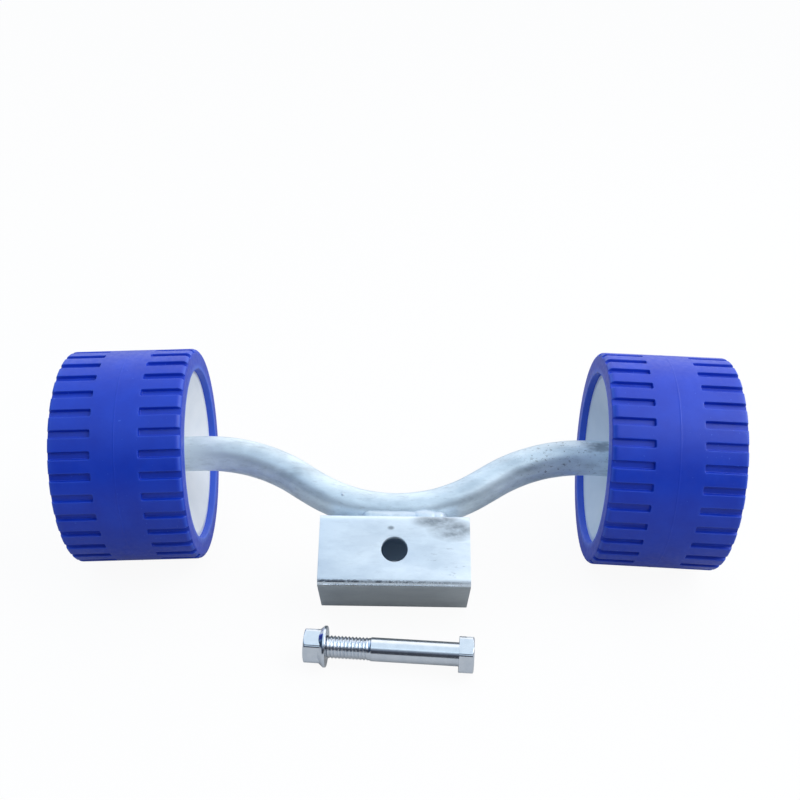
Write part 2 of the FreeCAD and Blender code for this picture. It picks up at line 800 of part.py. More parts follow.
def write_pieces(pieces):
    """Checks every object of the document and every finished piece, then writes one file for each piece."""
    doc.recompute()
    for item in doc.Objects:
        if "Invalid" in item.State or "Error" in item.State:
            raise RuntimeError(f"{item.Name} failed: {item.State}")
    for piece in pieces:
        shape = piece.Shape
        if shape.isNull() or not shape.isValid() or len(shape.Solids) != 1:
            raise RuntimeError(f"{piece.Label} is not one sound solid")
    os.makedirs("parts", exist_ok=True)
    for piece in pieces:
        piece.Shape.exportStep(f"parts/{piece.Label}.step")
        box = piece.Shape.BoundBox
        spans = " x ".join(f"{span:.1f}" for span in (box.XLength, box.YLength, box.ZLength))
        print(f"{piece.Label}: {piece.Shape.Volume:.0f} mm3, {spans} mm")


axle_bar = make_bar("axle_bar")
bracket_tube = make_tube("bracket_tube")
frame = [
    axle_bar,
    bracket_tube,
    make_weld("weld_front", -1, axle_bar, bracket_tube),
    make_weld("weld_back", 1, axle_bar, bracket_tube),
]
loose = [make_bolt("hex_bolt"), make_nut("flange_nut")]
write_pieces(frame + make_wheel_end("left") + make_wheel_end("right") + loose)
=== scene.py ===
"""Boat trailer roller: two ribbed wheels on a gull-wing bar, a square tube welded under it, and its loose bolt.

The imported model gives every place. Each sub-assembly is drawn in its own frame in millimetres, and its mesh is then
laid where the model says. Three frames are used. The upright frame has X along the axle, Y along the bolt hole and Z
from the hole up to the axle. An axle frame has X outwards along one end of the bar and its origin in the middle of that
wheel. The bolt frame has X from the bolt's point to its head.
"""

import json
import logging
import math
from collections.abc import Callable
from dataclasses import dataclass
from enum import Enum
from functools import cached_property, reduce

import bmesh
import bpy
from mathutils import Matrix, Vector, noise


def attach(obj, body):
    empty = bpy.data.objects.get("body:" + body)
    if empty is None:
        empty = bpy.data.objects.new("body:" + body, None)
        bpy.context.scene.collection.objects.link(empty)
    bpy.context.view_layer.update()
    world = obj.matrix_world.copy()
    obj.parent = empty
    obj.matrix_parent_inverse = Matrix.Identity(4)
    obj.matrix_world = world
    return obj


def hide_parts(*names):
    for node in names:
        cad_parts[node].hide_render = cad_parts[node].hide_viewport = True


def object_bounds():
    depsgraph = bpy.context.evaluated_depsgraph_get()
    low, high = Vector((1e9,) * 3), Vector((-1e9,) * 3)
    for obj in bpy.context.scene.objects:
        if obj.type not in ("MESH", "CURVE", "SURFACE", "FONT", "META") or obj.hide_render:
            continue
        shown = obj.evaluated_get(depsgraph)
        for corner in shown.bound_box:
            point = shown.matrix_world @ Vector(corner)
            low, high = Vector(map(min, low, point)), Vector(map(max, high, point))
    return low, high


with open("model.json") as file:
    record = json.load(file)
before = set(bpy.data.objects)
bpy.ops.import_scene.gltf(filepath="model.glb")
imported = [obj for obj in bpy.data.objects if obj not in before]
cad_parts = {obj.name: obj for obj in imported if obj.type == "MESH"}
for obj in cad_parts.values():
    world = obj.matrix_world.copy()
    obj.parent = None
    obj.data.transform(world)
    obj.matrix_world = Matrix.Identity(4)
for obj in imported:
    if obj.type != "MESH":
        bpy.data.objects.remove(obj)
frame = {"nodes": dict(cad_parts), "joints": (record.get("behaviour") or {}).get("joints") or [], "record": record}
CAD_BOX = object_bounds()

MM = 0.001
TOUCH_MM = 0.001
IMAGE_PX = 800
SENSOR_MM = 36.0
ALONG = Vector((1.0, 0.0, 0.0))
logging.basicConfig(level=logging.INFO, format="%(message)s")
log = logging.getLogger("roller")
Triple = tuple[float, float, float]
Colour = Triple
Bands = tuple[tuple[float, Colour], ...]
Socket = bpy.types.NodeSocket
Value = Socket | float | Triple


class Side(Enum):
    """The two ends of the bar, each with its sign along X."""

    LEFT = -1
    RIGHT = 1

    @property
    def word(self) -> str:
        """The side's name as the nodes have it."""
        return self.name.lower()


# How far each wheel is turned on the bar, as its grooves lie in the photograph
WHEEL_TURNS_DEG = {Side.LEFT: 4.3, Side.RIGHT: 9.5}


class Body(Enum):
    """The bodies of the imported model."""

    FRAME = "welded_frame"
    LEFT_WHEEL = "left_wheel"
    RIGHT_WHEEL = "right_wheel"


class Slot(Enum):
    """The record's material slots."""

    GALVANISED = "galvanised_steel"
    ZINC = "zinc_plated_steel"
    BLUE = "blue_polyurethane"
    WHITE = "white_plastic"


def srgb(red: float, green: float, blue: float) -> Colour:
    """A linear colour from the 0 to 255 values that a screen shows.

    Args:
        red: Red, 0 to 255.
        green: Green, 0 to 255.
        blue: Blue, 0 to 255.

    Returns:
        The same colour as linear values from 0 to 1.
    """
    shares = [value / 255 for value in (red, green, blue)]
    linear = [share / 12.92 if share <= 0.04045 else ((share + 0.055) / 1.055) ** 2.4 for share in shares]
    return linear[0], linear[1], linear[2]


def upright_frame() -> Matrix:
    """The upright frame laid back on the floor, from the bolt hole's axis in the record.

    Returns:
        A rotation from the upright frame to the model's frame.
    """
    hole = next(mount for mount in frame["record"]["mounts"] if mount["name"] == "bolt_hole")
    front = Vector(hole["axis"]).normalized()
    upwards = front.cross(ALONG)
    return Matrix((ALONG, -front, upwards)).transposed().to_4x4()


def axle_frame(side: Side) -> Matrix:
    """The frame of one end of the bar, in millimetres, from that wheel's joint.

    Args:
        side: Which end.

    Returns:
        The matrix from the axle frame to the model's frame, both in millimetres.
    """
    joint = next(joint for joint in frame["joints"] if joint["name"] == f"{side.word}_wheel_spin")
    outwards = Vector(joint["axis"]).normalized()
    outwards *= side.value * math.copysign(1, outwards.x)
    across = (UPRIGHT.to_3x3() @ Vector((0, 1, 0))) * side.value
    rotation = Matrix((outwards, across, outwards.cross(across))).transposed().to_4x4()
    return Matrix.Translation(Vector(joint["pos_m"]) / MM) @ rotation


UPRIGHT = upright_frame()


class Sketch:
    """A bmesh under construction, in millimetres, with the ways in which these pieces are shaped."""

    def __init__(self) -> None:
        """Starts an empty mesh."""
        self.bm = bmesh.new()
        self.rim: list[bmesh.types.BMEdge] = []

    def outline(self, points: list[tuple[float, float]]) -> "Sketch":
        """Draws a closed outline in the half plane of X and radius.

        Args:
            points: Places along X with the radius there.

        Returns:
            This sketch.
        """
        corners = [self.bm.verts.new((along, 0, radius)) for along, radius in points]
        self.rim = [self.bm.edges.new(pair) for pair in zip(corners, corners[1:] + corners[:1])]
        return self

    def spin(self, steps: int) -> "Sketch":
        """Turns the outline all the way round the X axis.

        Args:
            steps: Columns round the turn.

        Returns:
            This sketch.
        """
        bmesh.ops.spin(
            self.bm,
            geom=self.bm.verts[:] + self.bm.edges[:],
            cent=(0, 0, 0),
            axis=(1, 0, 0),
            dvec=(0, 0, 0),
            angle=math.tau,
            steps=steps,
            use_merge=True,
            use_duplicate=False,
        )
        return self

    def circle(self, radius: float, segments: int, place: Vector) -> "Sketch":
        """Starts a tube with a ring that faces along X.

        Args:
            radius: The ring's radius.
            segments: Its corners.
            place: Its middle.

        Returns:
            This sketch.
        """
        matrix = Matrix.Translation(place) @ Matrix.Rotation(math.pi / 2, 4, "Y")
        made = bmesh.ops.create_circle(self.bm, radius=radius, segments=segments, cap_ends=False, matrix=matrix)
        self.rim = list({edge for vert in made["verts"] for edge in vert.link_edges})
        return self

    def straight(self, way: Vector, steps: int) -> "Sketch":
        """Extrudes the open rim along a straight line.

        Args:
            way: The whole way of the stretch.
            steps: Rings along it.

        Returns:
            This sketch.
        """
        for _ in range(steps):
            made = bmesh.ops.extrude_edge_only(self.bm, edges=self.rim)["geom"]
            verts = [item for item in made if isinstance(item, bmesh.types.BMVert)]
            self.rim = [item for item in made if isinstance(item, bmesh.types.BMEdge)]
            bmesh.ops.translate(self.bm, verts=verts, vec=way / steps)
        return self

    def bend(self, centre: Vector, angle: float, steps: int) -> "Sketch":
        """Spins the open rim about an axis along Y.

        Args:
            centre: A point of the axis.
            angle: The turn, in radians.
            steps: Rings along it.

        Returns:
            This sketch.
        """
        made = bmesh.ops.spin(
            self.bm,
            geom=list({vert for edge in self.rim for vert in edge.verts}) + self.rim,
            cent=centre,
            axis=(0, 1, 0),
            dvec=(0, 0, 0),
            angle=angle,
            steps=steps,
            use_merge=False,
            use_duplicate=False,
        )
        self.rim = [item for item in made["geom_last"] if isinstance(item, bmesh.types.BMEdge)]
        return self

    def cap(self) -> "Sketch":
        """Closes every open rim with one face.

        Returns:
            This sketch.
        """
        loose = [edge for edge in self.bm.edges if edge.is_boundary]
        bmesh.ops.edgeloop_fill(self.bm, edges=loose)
        return self

    def sharp_edges(self, least_turn: float = 35.0) -> list[bmesh.types.BMEdge]:
        """The edges that turn by more than that, in degrees."""
        limit = math.radians(least_turn)
        return [edge for edge in self.bm.edges if edge.is_manifold and edge.calc_face_angle(0) > limit]

    def bevel(self, edges: list[bmesh.types.BMEdge], width: float, segments: int) -> "Sketch":
        """Rounds edges.

        Args:
            edges: Which edges.
            width: How far each rounding reaches from its edge.
            segments: Faces across it.

        Returns:
            This sketch.
        """
        bmesh.ops.bevel(
            self.bm,
            geom=edges,
            offset=width,
            offset_type="OFFSET",
            affect="EDGES",
            segments=segments,
            profile=0.5,
            material=-1,
            clamp_overlap=True,
        )
        return self

    def join(self, other: "Sketch") -> "Sketch":
        """Takes in another sketch's mesh.

        Args:
            other: The sketch, used up by this.

        Returns:
            This sketch.
        """
        mesh = into_mesh("joined", other.bm)
        self.bm.from_mesh(mesh)
        bpy.data.meshes.remove(mesh)
        return self

    def cut(self, tool: "Sketch") -> "Sketch":
        """Takes another sketch's solid away, by Blender's Boolean modifier.

        Args:
            tool: The solid that is taken away.

        Returns:
            This sketch.
        """
        parts = []
        for name, bm in (("solid", self.bm), ("tool", tool.bm)):
            bmesh.ops.recalc_face_normals(bm, faces=bm.faces)
            parts.append(link_object(name, into_mesh(name, bm)))
        boolean = parts[0].modifiers.new("cut", "BOOLEAN")
        boolean.operation = "DIFFERENCE"
        boolean.solver = "EXACT"
        boolean.object = parts[1]
        evaluated = parts[0].evaluated_get(bpy.context.evaluated_depsgraph_get())
        self.bm = bmesh.new()
        self.bm.from_mesh(evaluated.to_mesh())
        evaluated.to_mesh_clear()
        for part in parts:
            mesh = part.data
            bpy.data.objects.remove(part)
            bpy.data.meshes.remove(mesh)
        return self

    def move_each(self, move: Callable[[Vector], Vector]) -> "Sketch":
        """Gives every vertex a new place.

        Args:
            move: The new place from the old one.

        Returns:
            This sketch.
        """
        for vert in self.bm.verts:
            vert.co = move(vert.co)
        return self


def rounded(points: list[tuple[float, float, float]], steps: int = 6) -> list[tuple[float, float]]:
    """A closed outline whose corners are arcs.

    Args:
        points: The corners, each with the radius of its rounding.
        steps: Straight pieces in each arc.

    Returns:
        The outline's points.
    """
    result: list[tuple[float, float]] = []
    count = len(points)
    for index, (along, out, radius) in enumerate(points):
        corner = Vector((along, out))
        if radius == 0:
            result.append((along, out))
            continue
        before = (Vector(points[index - 1][:2]) - corner).normalized()
        after = (Vector(points[(index + 1) % count][:2]) - corner).normalized()
        half = before.angle(after) / 2
        reach = radius / math.tan(half)
        centre = corner + (before + after).normalized() * (radius / math.sin(half))
        start = corner + before * reach - centre
        end = corner + after * reach - centre
        for step in range(steps + 1):
            share = step / steps
            spot = centre + start.slerp(end, share).normalized() * radius
            result.append((spot.x, spot.y))
    return result


def link_object(name: str, data: bpy.types.ID) -> bpy.types.Object:
    """Puts a new object into the scene.

    Args:
        name: Its name.
        data: Its mesh, lamp or camera.

    Returns:
        The object.
    """
    made = bpy.data.objects.new(name, data)
    bpy.context.scene.collection.objects.link(made)
    return made


def into_mesh(name: str, bm: bmesh.types.BMesh) -> bpy.types.Mesh:
    """Turns a bmesh into a mesh, and frees it.

    Args:
        name: The mesh's name.
        bm: The bmesh.

    Returns:
        The mesh.
    """
    mesh = bpy.data.meshes.new(name)
    bm.to_mesh(mesh)
    bm.free()
    return mesh


def bell(offset: float, width: float, power: int = 2) -> float:
    """A soft hill: 1 in its middle, falling off over its width, with a flatter top for a greater power."""
    return math.exp(-((offset / width) ** power))


def quarter_turn(steps: int) -> list[float]:
    """The angles of a quarter turn in equal steps, in radians, from 0 on."""
    return [math.pi / 2 * step / steps for step in range(steps + 1)]


@dataclass(frozen=True)
class Pattern:
    """A noise fixed to a piece.

    Attributes:
        scale: Waves to a metre.
        detail: Octaves.
        fineness: How strong the finer octaves are.
        stretch: Scale along each axis of the piece's own frame.
        reads: The values of the noise that are used.
        gives: What they become.
    """

    scale: float
    detail: float
    fineness: float = 0.5
    stretch: Triple = (1, 1, 1)
    reads: tuple[float, float] = (0.3, 0.7)
    gives: tuple[float, float] = (0, 1)


@dataclass(frozen=True)
class Spot:
    """A soft ellipsoid in a piece's own frame.

    Attributes:
        middle: Its middle, in millimetres.
        reach: How far it goes along each axis, in millimetres.
        fade: The share of the reach over which it fades.
        squarings: How often it is squared, towards a box.
    """

    middle: Triple
    reach: Triple
    fade: float = 0.5
    squarings: int = 0


class Nodes:
    """The node tree of a material or a world, with short calls for the nodes used here."""

    def __init__(self, owner: bpy.types.Material | bpy.types.World) -> None:
        """Opens a node tree.

        Args:
            owner: The material or world that it belongs to.
        """
        owner.use_nodes = True
        self.nodes = owner.node_tree.nodes
        self.links = owner.node_tree.links

    def feed(self, socket: Socket, value: Value) -> None:
        """Fills a socket.

        Args:
            socket: The socket.
            value: Another socket that is linked into it, or the number, the three numbers or the colour that it gets.
        """
        if isinstance(value, Socket):
            self.links.new(value, socket)
        elif isinstance(value, tuple) and len(socket.default_value) > len(value):
            socket.default_value = (*value, 1.0)
        else:
            socket.default_value = value

    def node(self, kind: str, inputs: dict[str | int, Value], **settings: str) -> bpy.types.bpy_prop_collection:
        """Adds a node.

        Args:
            kind: Blender's name of it, without the word that all of them start with.
            inputs: What goes into its sockets.
            settings: Its own properties.

        Returns:
            Its output sockets.
        """
        node = self.nodes.new(f"ShaderNode{kind}")
        for name, value in settings.items():
            setattr(node, name, value)
        for name, value in inputs.items():
            self.feed(node.inputs[name], value)
        return node.outputs

    def calculate(self, operation: str, *values: Value) -> Socket:
        """One calculation, by Blender's name of it."""
        return self.node("Math", dict(enumerate(values)), operation=operation)["Value"]

    def remap(
        self, value: Socket, reads: tuple[float, float], gives: tuple[float, float] = (0, 1), smooth: bool = False
    ) -> Socket:
        """A value stretched from the two limits that it reads to those that it gives, levelled off there if smooth."""
        inputs = {"Value": value, "From Min": reads[0], "From Max": reads[1], "To Min": gives[0], "To Max": gives[1]}
        return self.node("MapRange", inputs, interpolation_type="SMOOTHSTEP" if smooth else "LINEAR")["Result"]

    def mix(self, share: Value, first: Value, second: Value, kind: str = "MIX") -> Socket:
        """Two colours mixed, with that share of the second, by Blender's name of the mixing."""
        return self.node("Mix", {"Factor": share, 6: first, 7: second}, data_type="RGBA", blend_type=kind)[2]

    def mix_shaders(self, share: Socket, first: Socket, second: Socket) -> Socket:
        """Two shaders mixed, with that share of the second."""
        return self.node("MixShader", {"Fac": share, 1: first, 2: second})["Shader"]

    def ray(self, kind: str) -> Socket:
        """1 for a ray of that kind, 0 for others."""
        return self.node("LightPath", {})[f"Is {kind} Ray"]


class Graph(Nodes):
    """A material's nodes: patterns and spots fixed to the piece, and the surface shader that they go into."""

    def __init__(self, name: str) -> None:
        """Makes the material.

        Args:
            name: Its name.
        """
        self.material = bpy.data.materials.new(name)
        super().__init__(self.material)
        self.shader = self.nodes["Principled BSDF"]
        self.own = self.attribute("own", "Vector")

    def set(self, **values: Value) -> None:
        """Fills the shader's sockets, each named by its words with underscores between them."""
        for words, value in values.items():
            self.feed(self.shader.inputs[words.replace("_", " ")], value)

    def attribute(self, name: str, output: str = "Fac") -> Socket:
        """What the mesh carries under that name."""
        return self.node("Attribute", {}, attribute_name=name)[output]

    def noise(self, pattern: Pattern) -> Socket:
        """The plain noise of a pattern.

        Args:
            pattern: The pattern.

        Returns:
            The socket of the noise.
        """
        place = self.node("Mapping", {"Vector": self.own, "Scale": pattern.stretch})["Vector"]
        inputs = {"Vector": place, "Scale": pattern.scale, "Detail": pattern.detail, "Roughness": pattern.fineness}
        return self.node("TexNoise", inputs)["Fac"]

    def pattern(self, pattern: Pattern) -> Socket:
        """A pattern between the limits that it gives."""
        return self.remap(self.noise(pattern), pattern.reads, pattern.gives)

    def spot(self, spot: Spot) -> Socket:
        """A spot's value.

        Args:
            spot: The spot.

        Returns:
            The socket of it, 1 inside and 0 outside.
        """
        scale = tuple(1 / (MM * size) for size in spot.reach)
        shift = tuple(-place / size for place, size in zip(spot.middle, spot.reach))
        offset = self.node("Mapping", {"Vector": self.own, "Scale": scale, "Location": shift})["Vector"]
        for _ in range(spot.squarings):
            offset = self.node("VectorMath", {0: offset, 1: offset}, operation="MULTIPLY")["Vector"]
        length = self.node("VectorMath", {0: offset}, operation="LENGTH")["Value"]
        return self.remap(length, (1 - spot.fade, 1), (1, 0))

    def strongest(self, *parts: tuple[Spot, Value]) -> Socket:
        """The strongest of several spots, each times a pattern or a number."""
        filled = [self.calculate("MULTIPLY", self.spot(spot), filling) for spot, filling in parts]
        return reduce(lambda first, second: self.calculate("MAXIMUM", first, second), filled)

    def raise_waves(self, waves: tuple[tuple[Pattern, float], ...]) -> None:
        """Raises the surface.

        Args:
            waves: Patterns that lie one on the other, each with its height in millimetres.
        """
        below: dict[str | int, Value] = {}
        for pattern, height in waves:
            inputs = {"Height": self.noise(pattern), "Distance": height * MM, **below}
            below = {"Normal": self.node("Bump", inputs)["Normal"]}
        self.set(**below)


@dataclass(frozen=True, kw_only=True)
class Finish:
    """A material of two close tones in soft clouds, with an uneven gloss and fine waves.

    Attributes:
        name: The material's name.
        slot: The slot of the record that it fills.
        tones: Its colours where the clouds are low and where they are high.
        clouds: The pattern of the tones.
        gloss: The pattern of the roughness.
        roughness: Its limits.
        waves: Patterns that raise the surface, each with its height in millimetres.
        metallic: How much of it shines as metal.
        specular: How strongly the rest reflects.
    """

    name: str
    slot: Slot
    tones: tuple[Colour, Colour]
    clouds: Pattern
    gloss: Pattern
    roughness: tuple[float, float]
    waves: tuple[tuple[Pattern, float], ...]
    metallic: float = 0.0
    specular: float = 0.5

    def build(self) -> bpy.types.Material:
        """Makes the material, once.

        Returns:
            The finished material.
        """
        found = bpy.data.materials.get(self.name)
        if found is not None:
            return found
        graph = Graph(self.name)
        rough, metal = self.shine(graph)
        graph.set(Base_Color=self.colour(graph), Roughness=rough, Metallic=metal, Specular_IOR_Level=self.specular)
        graph.raise_waves(self.waves)
        return graph.material

    def colour(self, graph: Graph) -> Socket:
        """The surface's colour: its clouded tones."""
        return graph.mix(graph.pattern(self.clouds), *self.tones)

    def shine(self, graph: Graph) -> tuple[Socket, Value]:
        """The surface's roughness, and how much of it shines as metal."""
        return graph.remap(graph.noise(self.gloss), self.gloss.reads, self.roughness), self.metallic


@dataclass(frozen=True, kw_only=True)
class Polyurethane(Finish):
    """Moulded blue polyurethane, with painted highlights, paler and more violet, on its lip, shoulders and groove
    edges, and paler in small scuffs.
    """

    # The pale violet of the painted edge highlight, also used for the scuffs.
    edge: Colour = srgb(84, 128, 240)
    scuffs: Pattern = Pattern(640, 2, 0.4, reads=(0.735, 0.77), gives=(0, 0.35))

    def colour(self, graph: Graph) -> Socket:
        """The surface's colour: its clouded tones, with painted highlights on the edges and paler small scuffs."""
        # Painted highlight on the edges, from the edge attribute, together with real scuffs.
        worn = graph.calculate("MAXIMUM", graph.attribute("edge"), graph.pattern(self.scuffs))
        return graph.mix(worn, super().colour(graph), self.edge)


@dataclass(frozen=True, kw_only=True)
class Galvanised(Finish):
    """Hot-dip galvanised steel: pale, brushed along X by wear, with dark marks at given places."""

    clouds: Pattern = Pattern(90, 5, 0.6, (0.45, 1, 1), reads=(0.38, 0.60))
    gloss: Pattern = Pattern(180, 5, 0.6, (0.5, 1, 1))
    waves: tuple[tuple[Pattern, float], ...] = ((Pattern(110, 3), 0.07), (Pattern(700, 4, 0.6, (0.4, 1, 1)), 0.012))
    brushed: Pattern = Pattern(520, 4, 0.7, (0.3, 1, 1), reads=(0.34, 0.46), gives=(0.16, 0))
    dark: Colour = srgb(92, 99, 108)

    def stains(self, graph: Graph) -> Value:
        """How dark the piece's own marks are. A plain piece has none."""
        return 0.0

    def colour(self, graph: Graph) -> Socket:
        """The surface's colour: its clouded tones under wear and the piece's own dark marks, which on the bar include a
        painted reflection line.
        """
        body = graph.mix(graph.pattern(self.brushed), super().colour(graph), self.dark)
        return graph.mix(self.stains(graph), body, self.dark)


@dataclass(frozen=True, kw_only=True)
class GalvanisedBar(Galvanised):
    """The bar's zinc: specks and a grey patch on the right arm with a painted dark reflection line along its lower
    front, and a few smears on the left one.
    """

    specks: Pattern = Pattern(520, 5, 0.75, (0.7, 1, 1), reads=(0.34, 0.43), gives=(0.9, 0))
    smears: Pattern = Pattern(110, 4, 0.6, (0.4, 1, 1), reads=(0.5, 0.62), gives=(0, 0.8))
    # Breaks up the painted reflection line.
    smudges: Pattern = Pattern(150, 4, 0.7, (0.6, 1, 1), reads=(0.42, 0.6), gives=(0.25, 0.85))
    right_arm: Spot = Spot((92, -6, 60), (42, 14, 22), 0.7)
    # A painted dark reflection: a line along the lower front of the right arm.
    right_line: Spot = Spot((88, -8.4, 50.5), (24, 3, 5.5), 0.7)
    hub: Spot = Spot((112, -4, 66), (18, 12, 12), 0.6)
    left_arm: Spot = Spot((-62, -5, 46), (26, 10, 12), 0.8)
    left_share: float = 0.5

    def stains(self, graph: Graph) -> Socket:
        """How dark the bar's specks, smears and painted reflection line are.

        Args:
            graph: The material's nodes.

        Returns:
            The socket of the share.
        """
        smears = graph.pattern(self.smears)
        return graph.strongest(
            (self.right_arm, graph.pattern(self.specks)),
            (self.hub, smears),
            (self.left_arm, graph.calculate("MULTIPLY", smears, self.left_share)),
            # The painted dark reflection line.
            (self.right_line, graph.pattern(self.smudges)),
        )


@dataclass(frozen=True, kw_only=True)
class GalvanisedTube(Galvanised):
    """The tube's zinc: matt and nearly white in front, worn bright on a corner, with painted shade inside and on its
    bottom face, and a grey smear.
    """

    # Painted shade: a darker colour inside the hollow and on the hole's walls, within the spot below.
    inside: Colour = srgb(150, 168, 184)
    bore: Spot = Spot((0, 0, 0), (400, 18.6, 18.6), 0.2, squarings=3)
    # Painted shade, multiplied onto the bottom face within the spot below.
    underside: Colour = srgb(202, 200, 196)
    below: Spot = Spot((0, 0, -25), (4000, 4000, 5.6), 0.04)
    streaks: Pattern = Pattern(120, 5, 0.65, (0.6, 1, 1.2), reads=(0.40, 0.58), gives=(0.32, 0.8))
    upper_smear: Spot = Spot((22, -20, 16.5), (15, 5, 5), 0.6)
    lower_smear: Spot = Spot((31, -20, 11), (15, 5, 7), 0.6)
    mark: Spot = Spot((-2, -20, 12), (2.2, 3, 1.4), 0.6)
    mark_share: float = 0.7
    scratches: Pattern = Pattern(300, 3, 0.6, (0.4, 1, 1.6), reads=(0.62, 0.68), gives=(0, 0.4))
    scratched: Spot = Spot((30, -20, -8), (20, 4, 13))
    unevenness: Pattern = Pattern(420, 3, reads=(0.42, 0.55), gives=(0.55, 1))
    worn_corner: Spot = Spot((-34, -18.6, -18.6), (96, 2.8, 2.8))
    worn_metallic: float = 0.95
    worn_roughness: float = 0.4

    def stains(self, graph: Graph) -> Socket:
        """How dark the tube's smears, mark and scratches are.

        Args:
            graph: The material's nodes.

        Returns:
            The socket of the share.
        """
        streaks = graph.pattern(self.streaks)
        return graph.strongest(
            (self.upper_smear, streaks),
            (self.lower_smear, streaks),
            (self.mark, self.mark_share),
            (self.scratched, graph.pattern(self.scratches)),
        )

    def colour(self, graph: Graph) -> Socket:
        """The surface's colour: with painted shade on the bottom face and inside.

        Args:
            graph: The material's nodes.

        Returns:
            The socket of the colour.
        """
        body = super().colour(graph)
        # Painted shade: greyer on the bottom face, darker inside.
        shaded_body = graph.mix(1.0, body, self.underside, "MULTIPLY")
        body = graph.mix(graph.spot(self.below), body, shaded_body)
        return graph.mix(graph.spot(self.bore), body, self.inside)

    def shine(self, graph: Graph) -> tuple[Socket, Value]:
        """The surface's shine, worn bright on the corner.

        Args:
            graph: The material's nodes.

        Returns:
            The roughness, and how much of the surface shines as metal.
        """
        rough, metal = super().shine(graph)
        worn = graph.strongest((self.worn_corner, graph.pattern(self.unevenness)))
        smoother = graph.remap(worn, (0, 1), (1, self.worn_roughness))
        return graph.calculate("MULTIPLY", rough, smoother), graph.remap(worn, (0, 1), (metal, self.worn_metallic))


BLUE = Polyurethane(
    name="moulded_blue",
    slot=Slot.BLUE,
    tones=(srgb(8, 53, 186), srgb(12, 63, 200)),
    clouds=Pattern(60, 5),
    gloss=Pattern(400, 4),
    roughness=(0.36, 0.5),
    waves=((Pattern(240, 3), 0.03), (Pattern(3000, 2), 0.004)),
)
WHITE = Finish(
    name="moulded_white",
    slot=Slot.WHITE,
    tones=(srgb(232, 236, 241), srgb(243, 245, 248)),
    clouds=Pattern(60, 5),
    gloss=Pattern(500, 3),
    roughness=(0.4, 0.55),
    waves=((Pattern(200, 3), 0.03), (Pattern(2600, 2), 0.005)),
    specular=0.4,
)
ZINC = Finish(
    name="zinc_plate",
    slot=Slot.ZINC,
    tones=(srgb(220, 226, 234), srgb(232, 236, 242)),
    clouds=Pattern(200, 4),
    gloss=Pattern(500, 3),
    roughness=(0.12, 0.22),
    waves=((Pattern(260, 3), 0.02), (Pattern(1800, 2), 0.003)),
    metallic=1.0,
)
GALVANISED = Galvanised(
    name="galvanised",
    slot=Slot.GALVANISED,
    tones=(srgb(200, 213, 222), srgb(214, 224, 234)),
    roughness=(0.38, 0.48),
    metallic=0.5,
)
GALVANISED_BAR = GalvanisedBar(
    name="galvanised_bar",
    slot=Slot.GALVANISED,
    tones=(srgb(200, 213, 222), srgb(226, 238, 245)),
    roughness=(0.30, 0.42),
    metallic=0.42,
)
GALVANISED_TUBE = GalvanisedTube(
    name="galvanised_tube",
    slot=Slot.GALVANISED,
    tones=(srgb(222, 231, 239), srgb(238, 246, 252)),
    roughness=(0.32, 0.44),
    waves=((Pattern(110, 3), 0.04), (Pattern(700, 4, 0.6, (0.4, 1, 1)), 0.012)),
    brushed=Pattern(520, 4, 0.7, (0.3, 1, 1), reads=(0.34, 0.46), gives=(0.06, 0)),
    metallic=0.25,
)


@dataclass(frozen=True)
class Piece:
    """A finished piece: its name, what it is made of, what it rides on and the node that it stands for."""

    name: str
    finish: Finish
    body: Body
    node: str

    def add(self, sketch: Sketch, matrix: Matrix, smooth_under: float = 40.0) -> bpy.types.Object:
        """Lays a sketch in place as this piece.

        Args:
            sketch: The piece in millimetres, in its own frame.
            matrix: From that frame to the model's, in millimetres.
            smooth_under: Edges that turn by less, in degrees, are shaded smooth.

        Returns:
            The new object, at the origin with its place in its mesh.
        """
        bmesh.ops.recalc_face_normals(sketch.bm, faces=sketch.bm.faces)
        own = sketch.bm.verts.layers.float_vector.new("own")
        for vert in sketch.bm.verts:
            vert[own] = vert.co * MM
        bmesh.ops.transform(sketch.bm, matrix=Matrix.Scale(MM, 4) @ matrix, verts=sketch.bm.verts)
        mesh = into_mesh(self.name, sketch.bm)
        mesh.shade_smooth()
        mesh.set_sharp_from_angle(angle=math.radians(smooth_under))
        mesh.materials.append(self.finish.build())
        piece = link_object(self.name, mesh)
        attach(piece, self.body.value)
        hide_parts(self.node)
        log.info("%s: %d faces, %s", self.name, len(mesh.polygons), self.finish.name)
        return piece


# How the edge of a groove falls: millimetres inwards from its plain edge, and the share of its depth there
GROOVE_WALL = (
    (-0.35, 0.0),
    (-0.2, 0.012),
    (-0.05, 0.07),
    (0.05, 0.25),
    (0.15, 0.55),
    (0.3, 0.86),
    (0.5, 0.98),
    (0.8, 1.0),
)


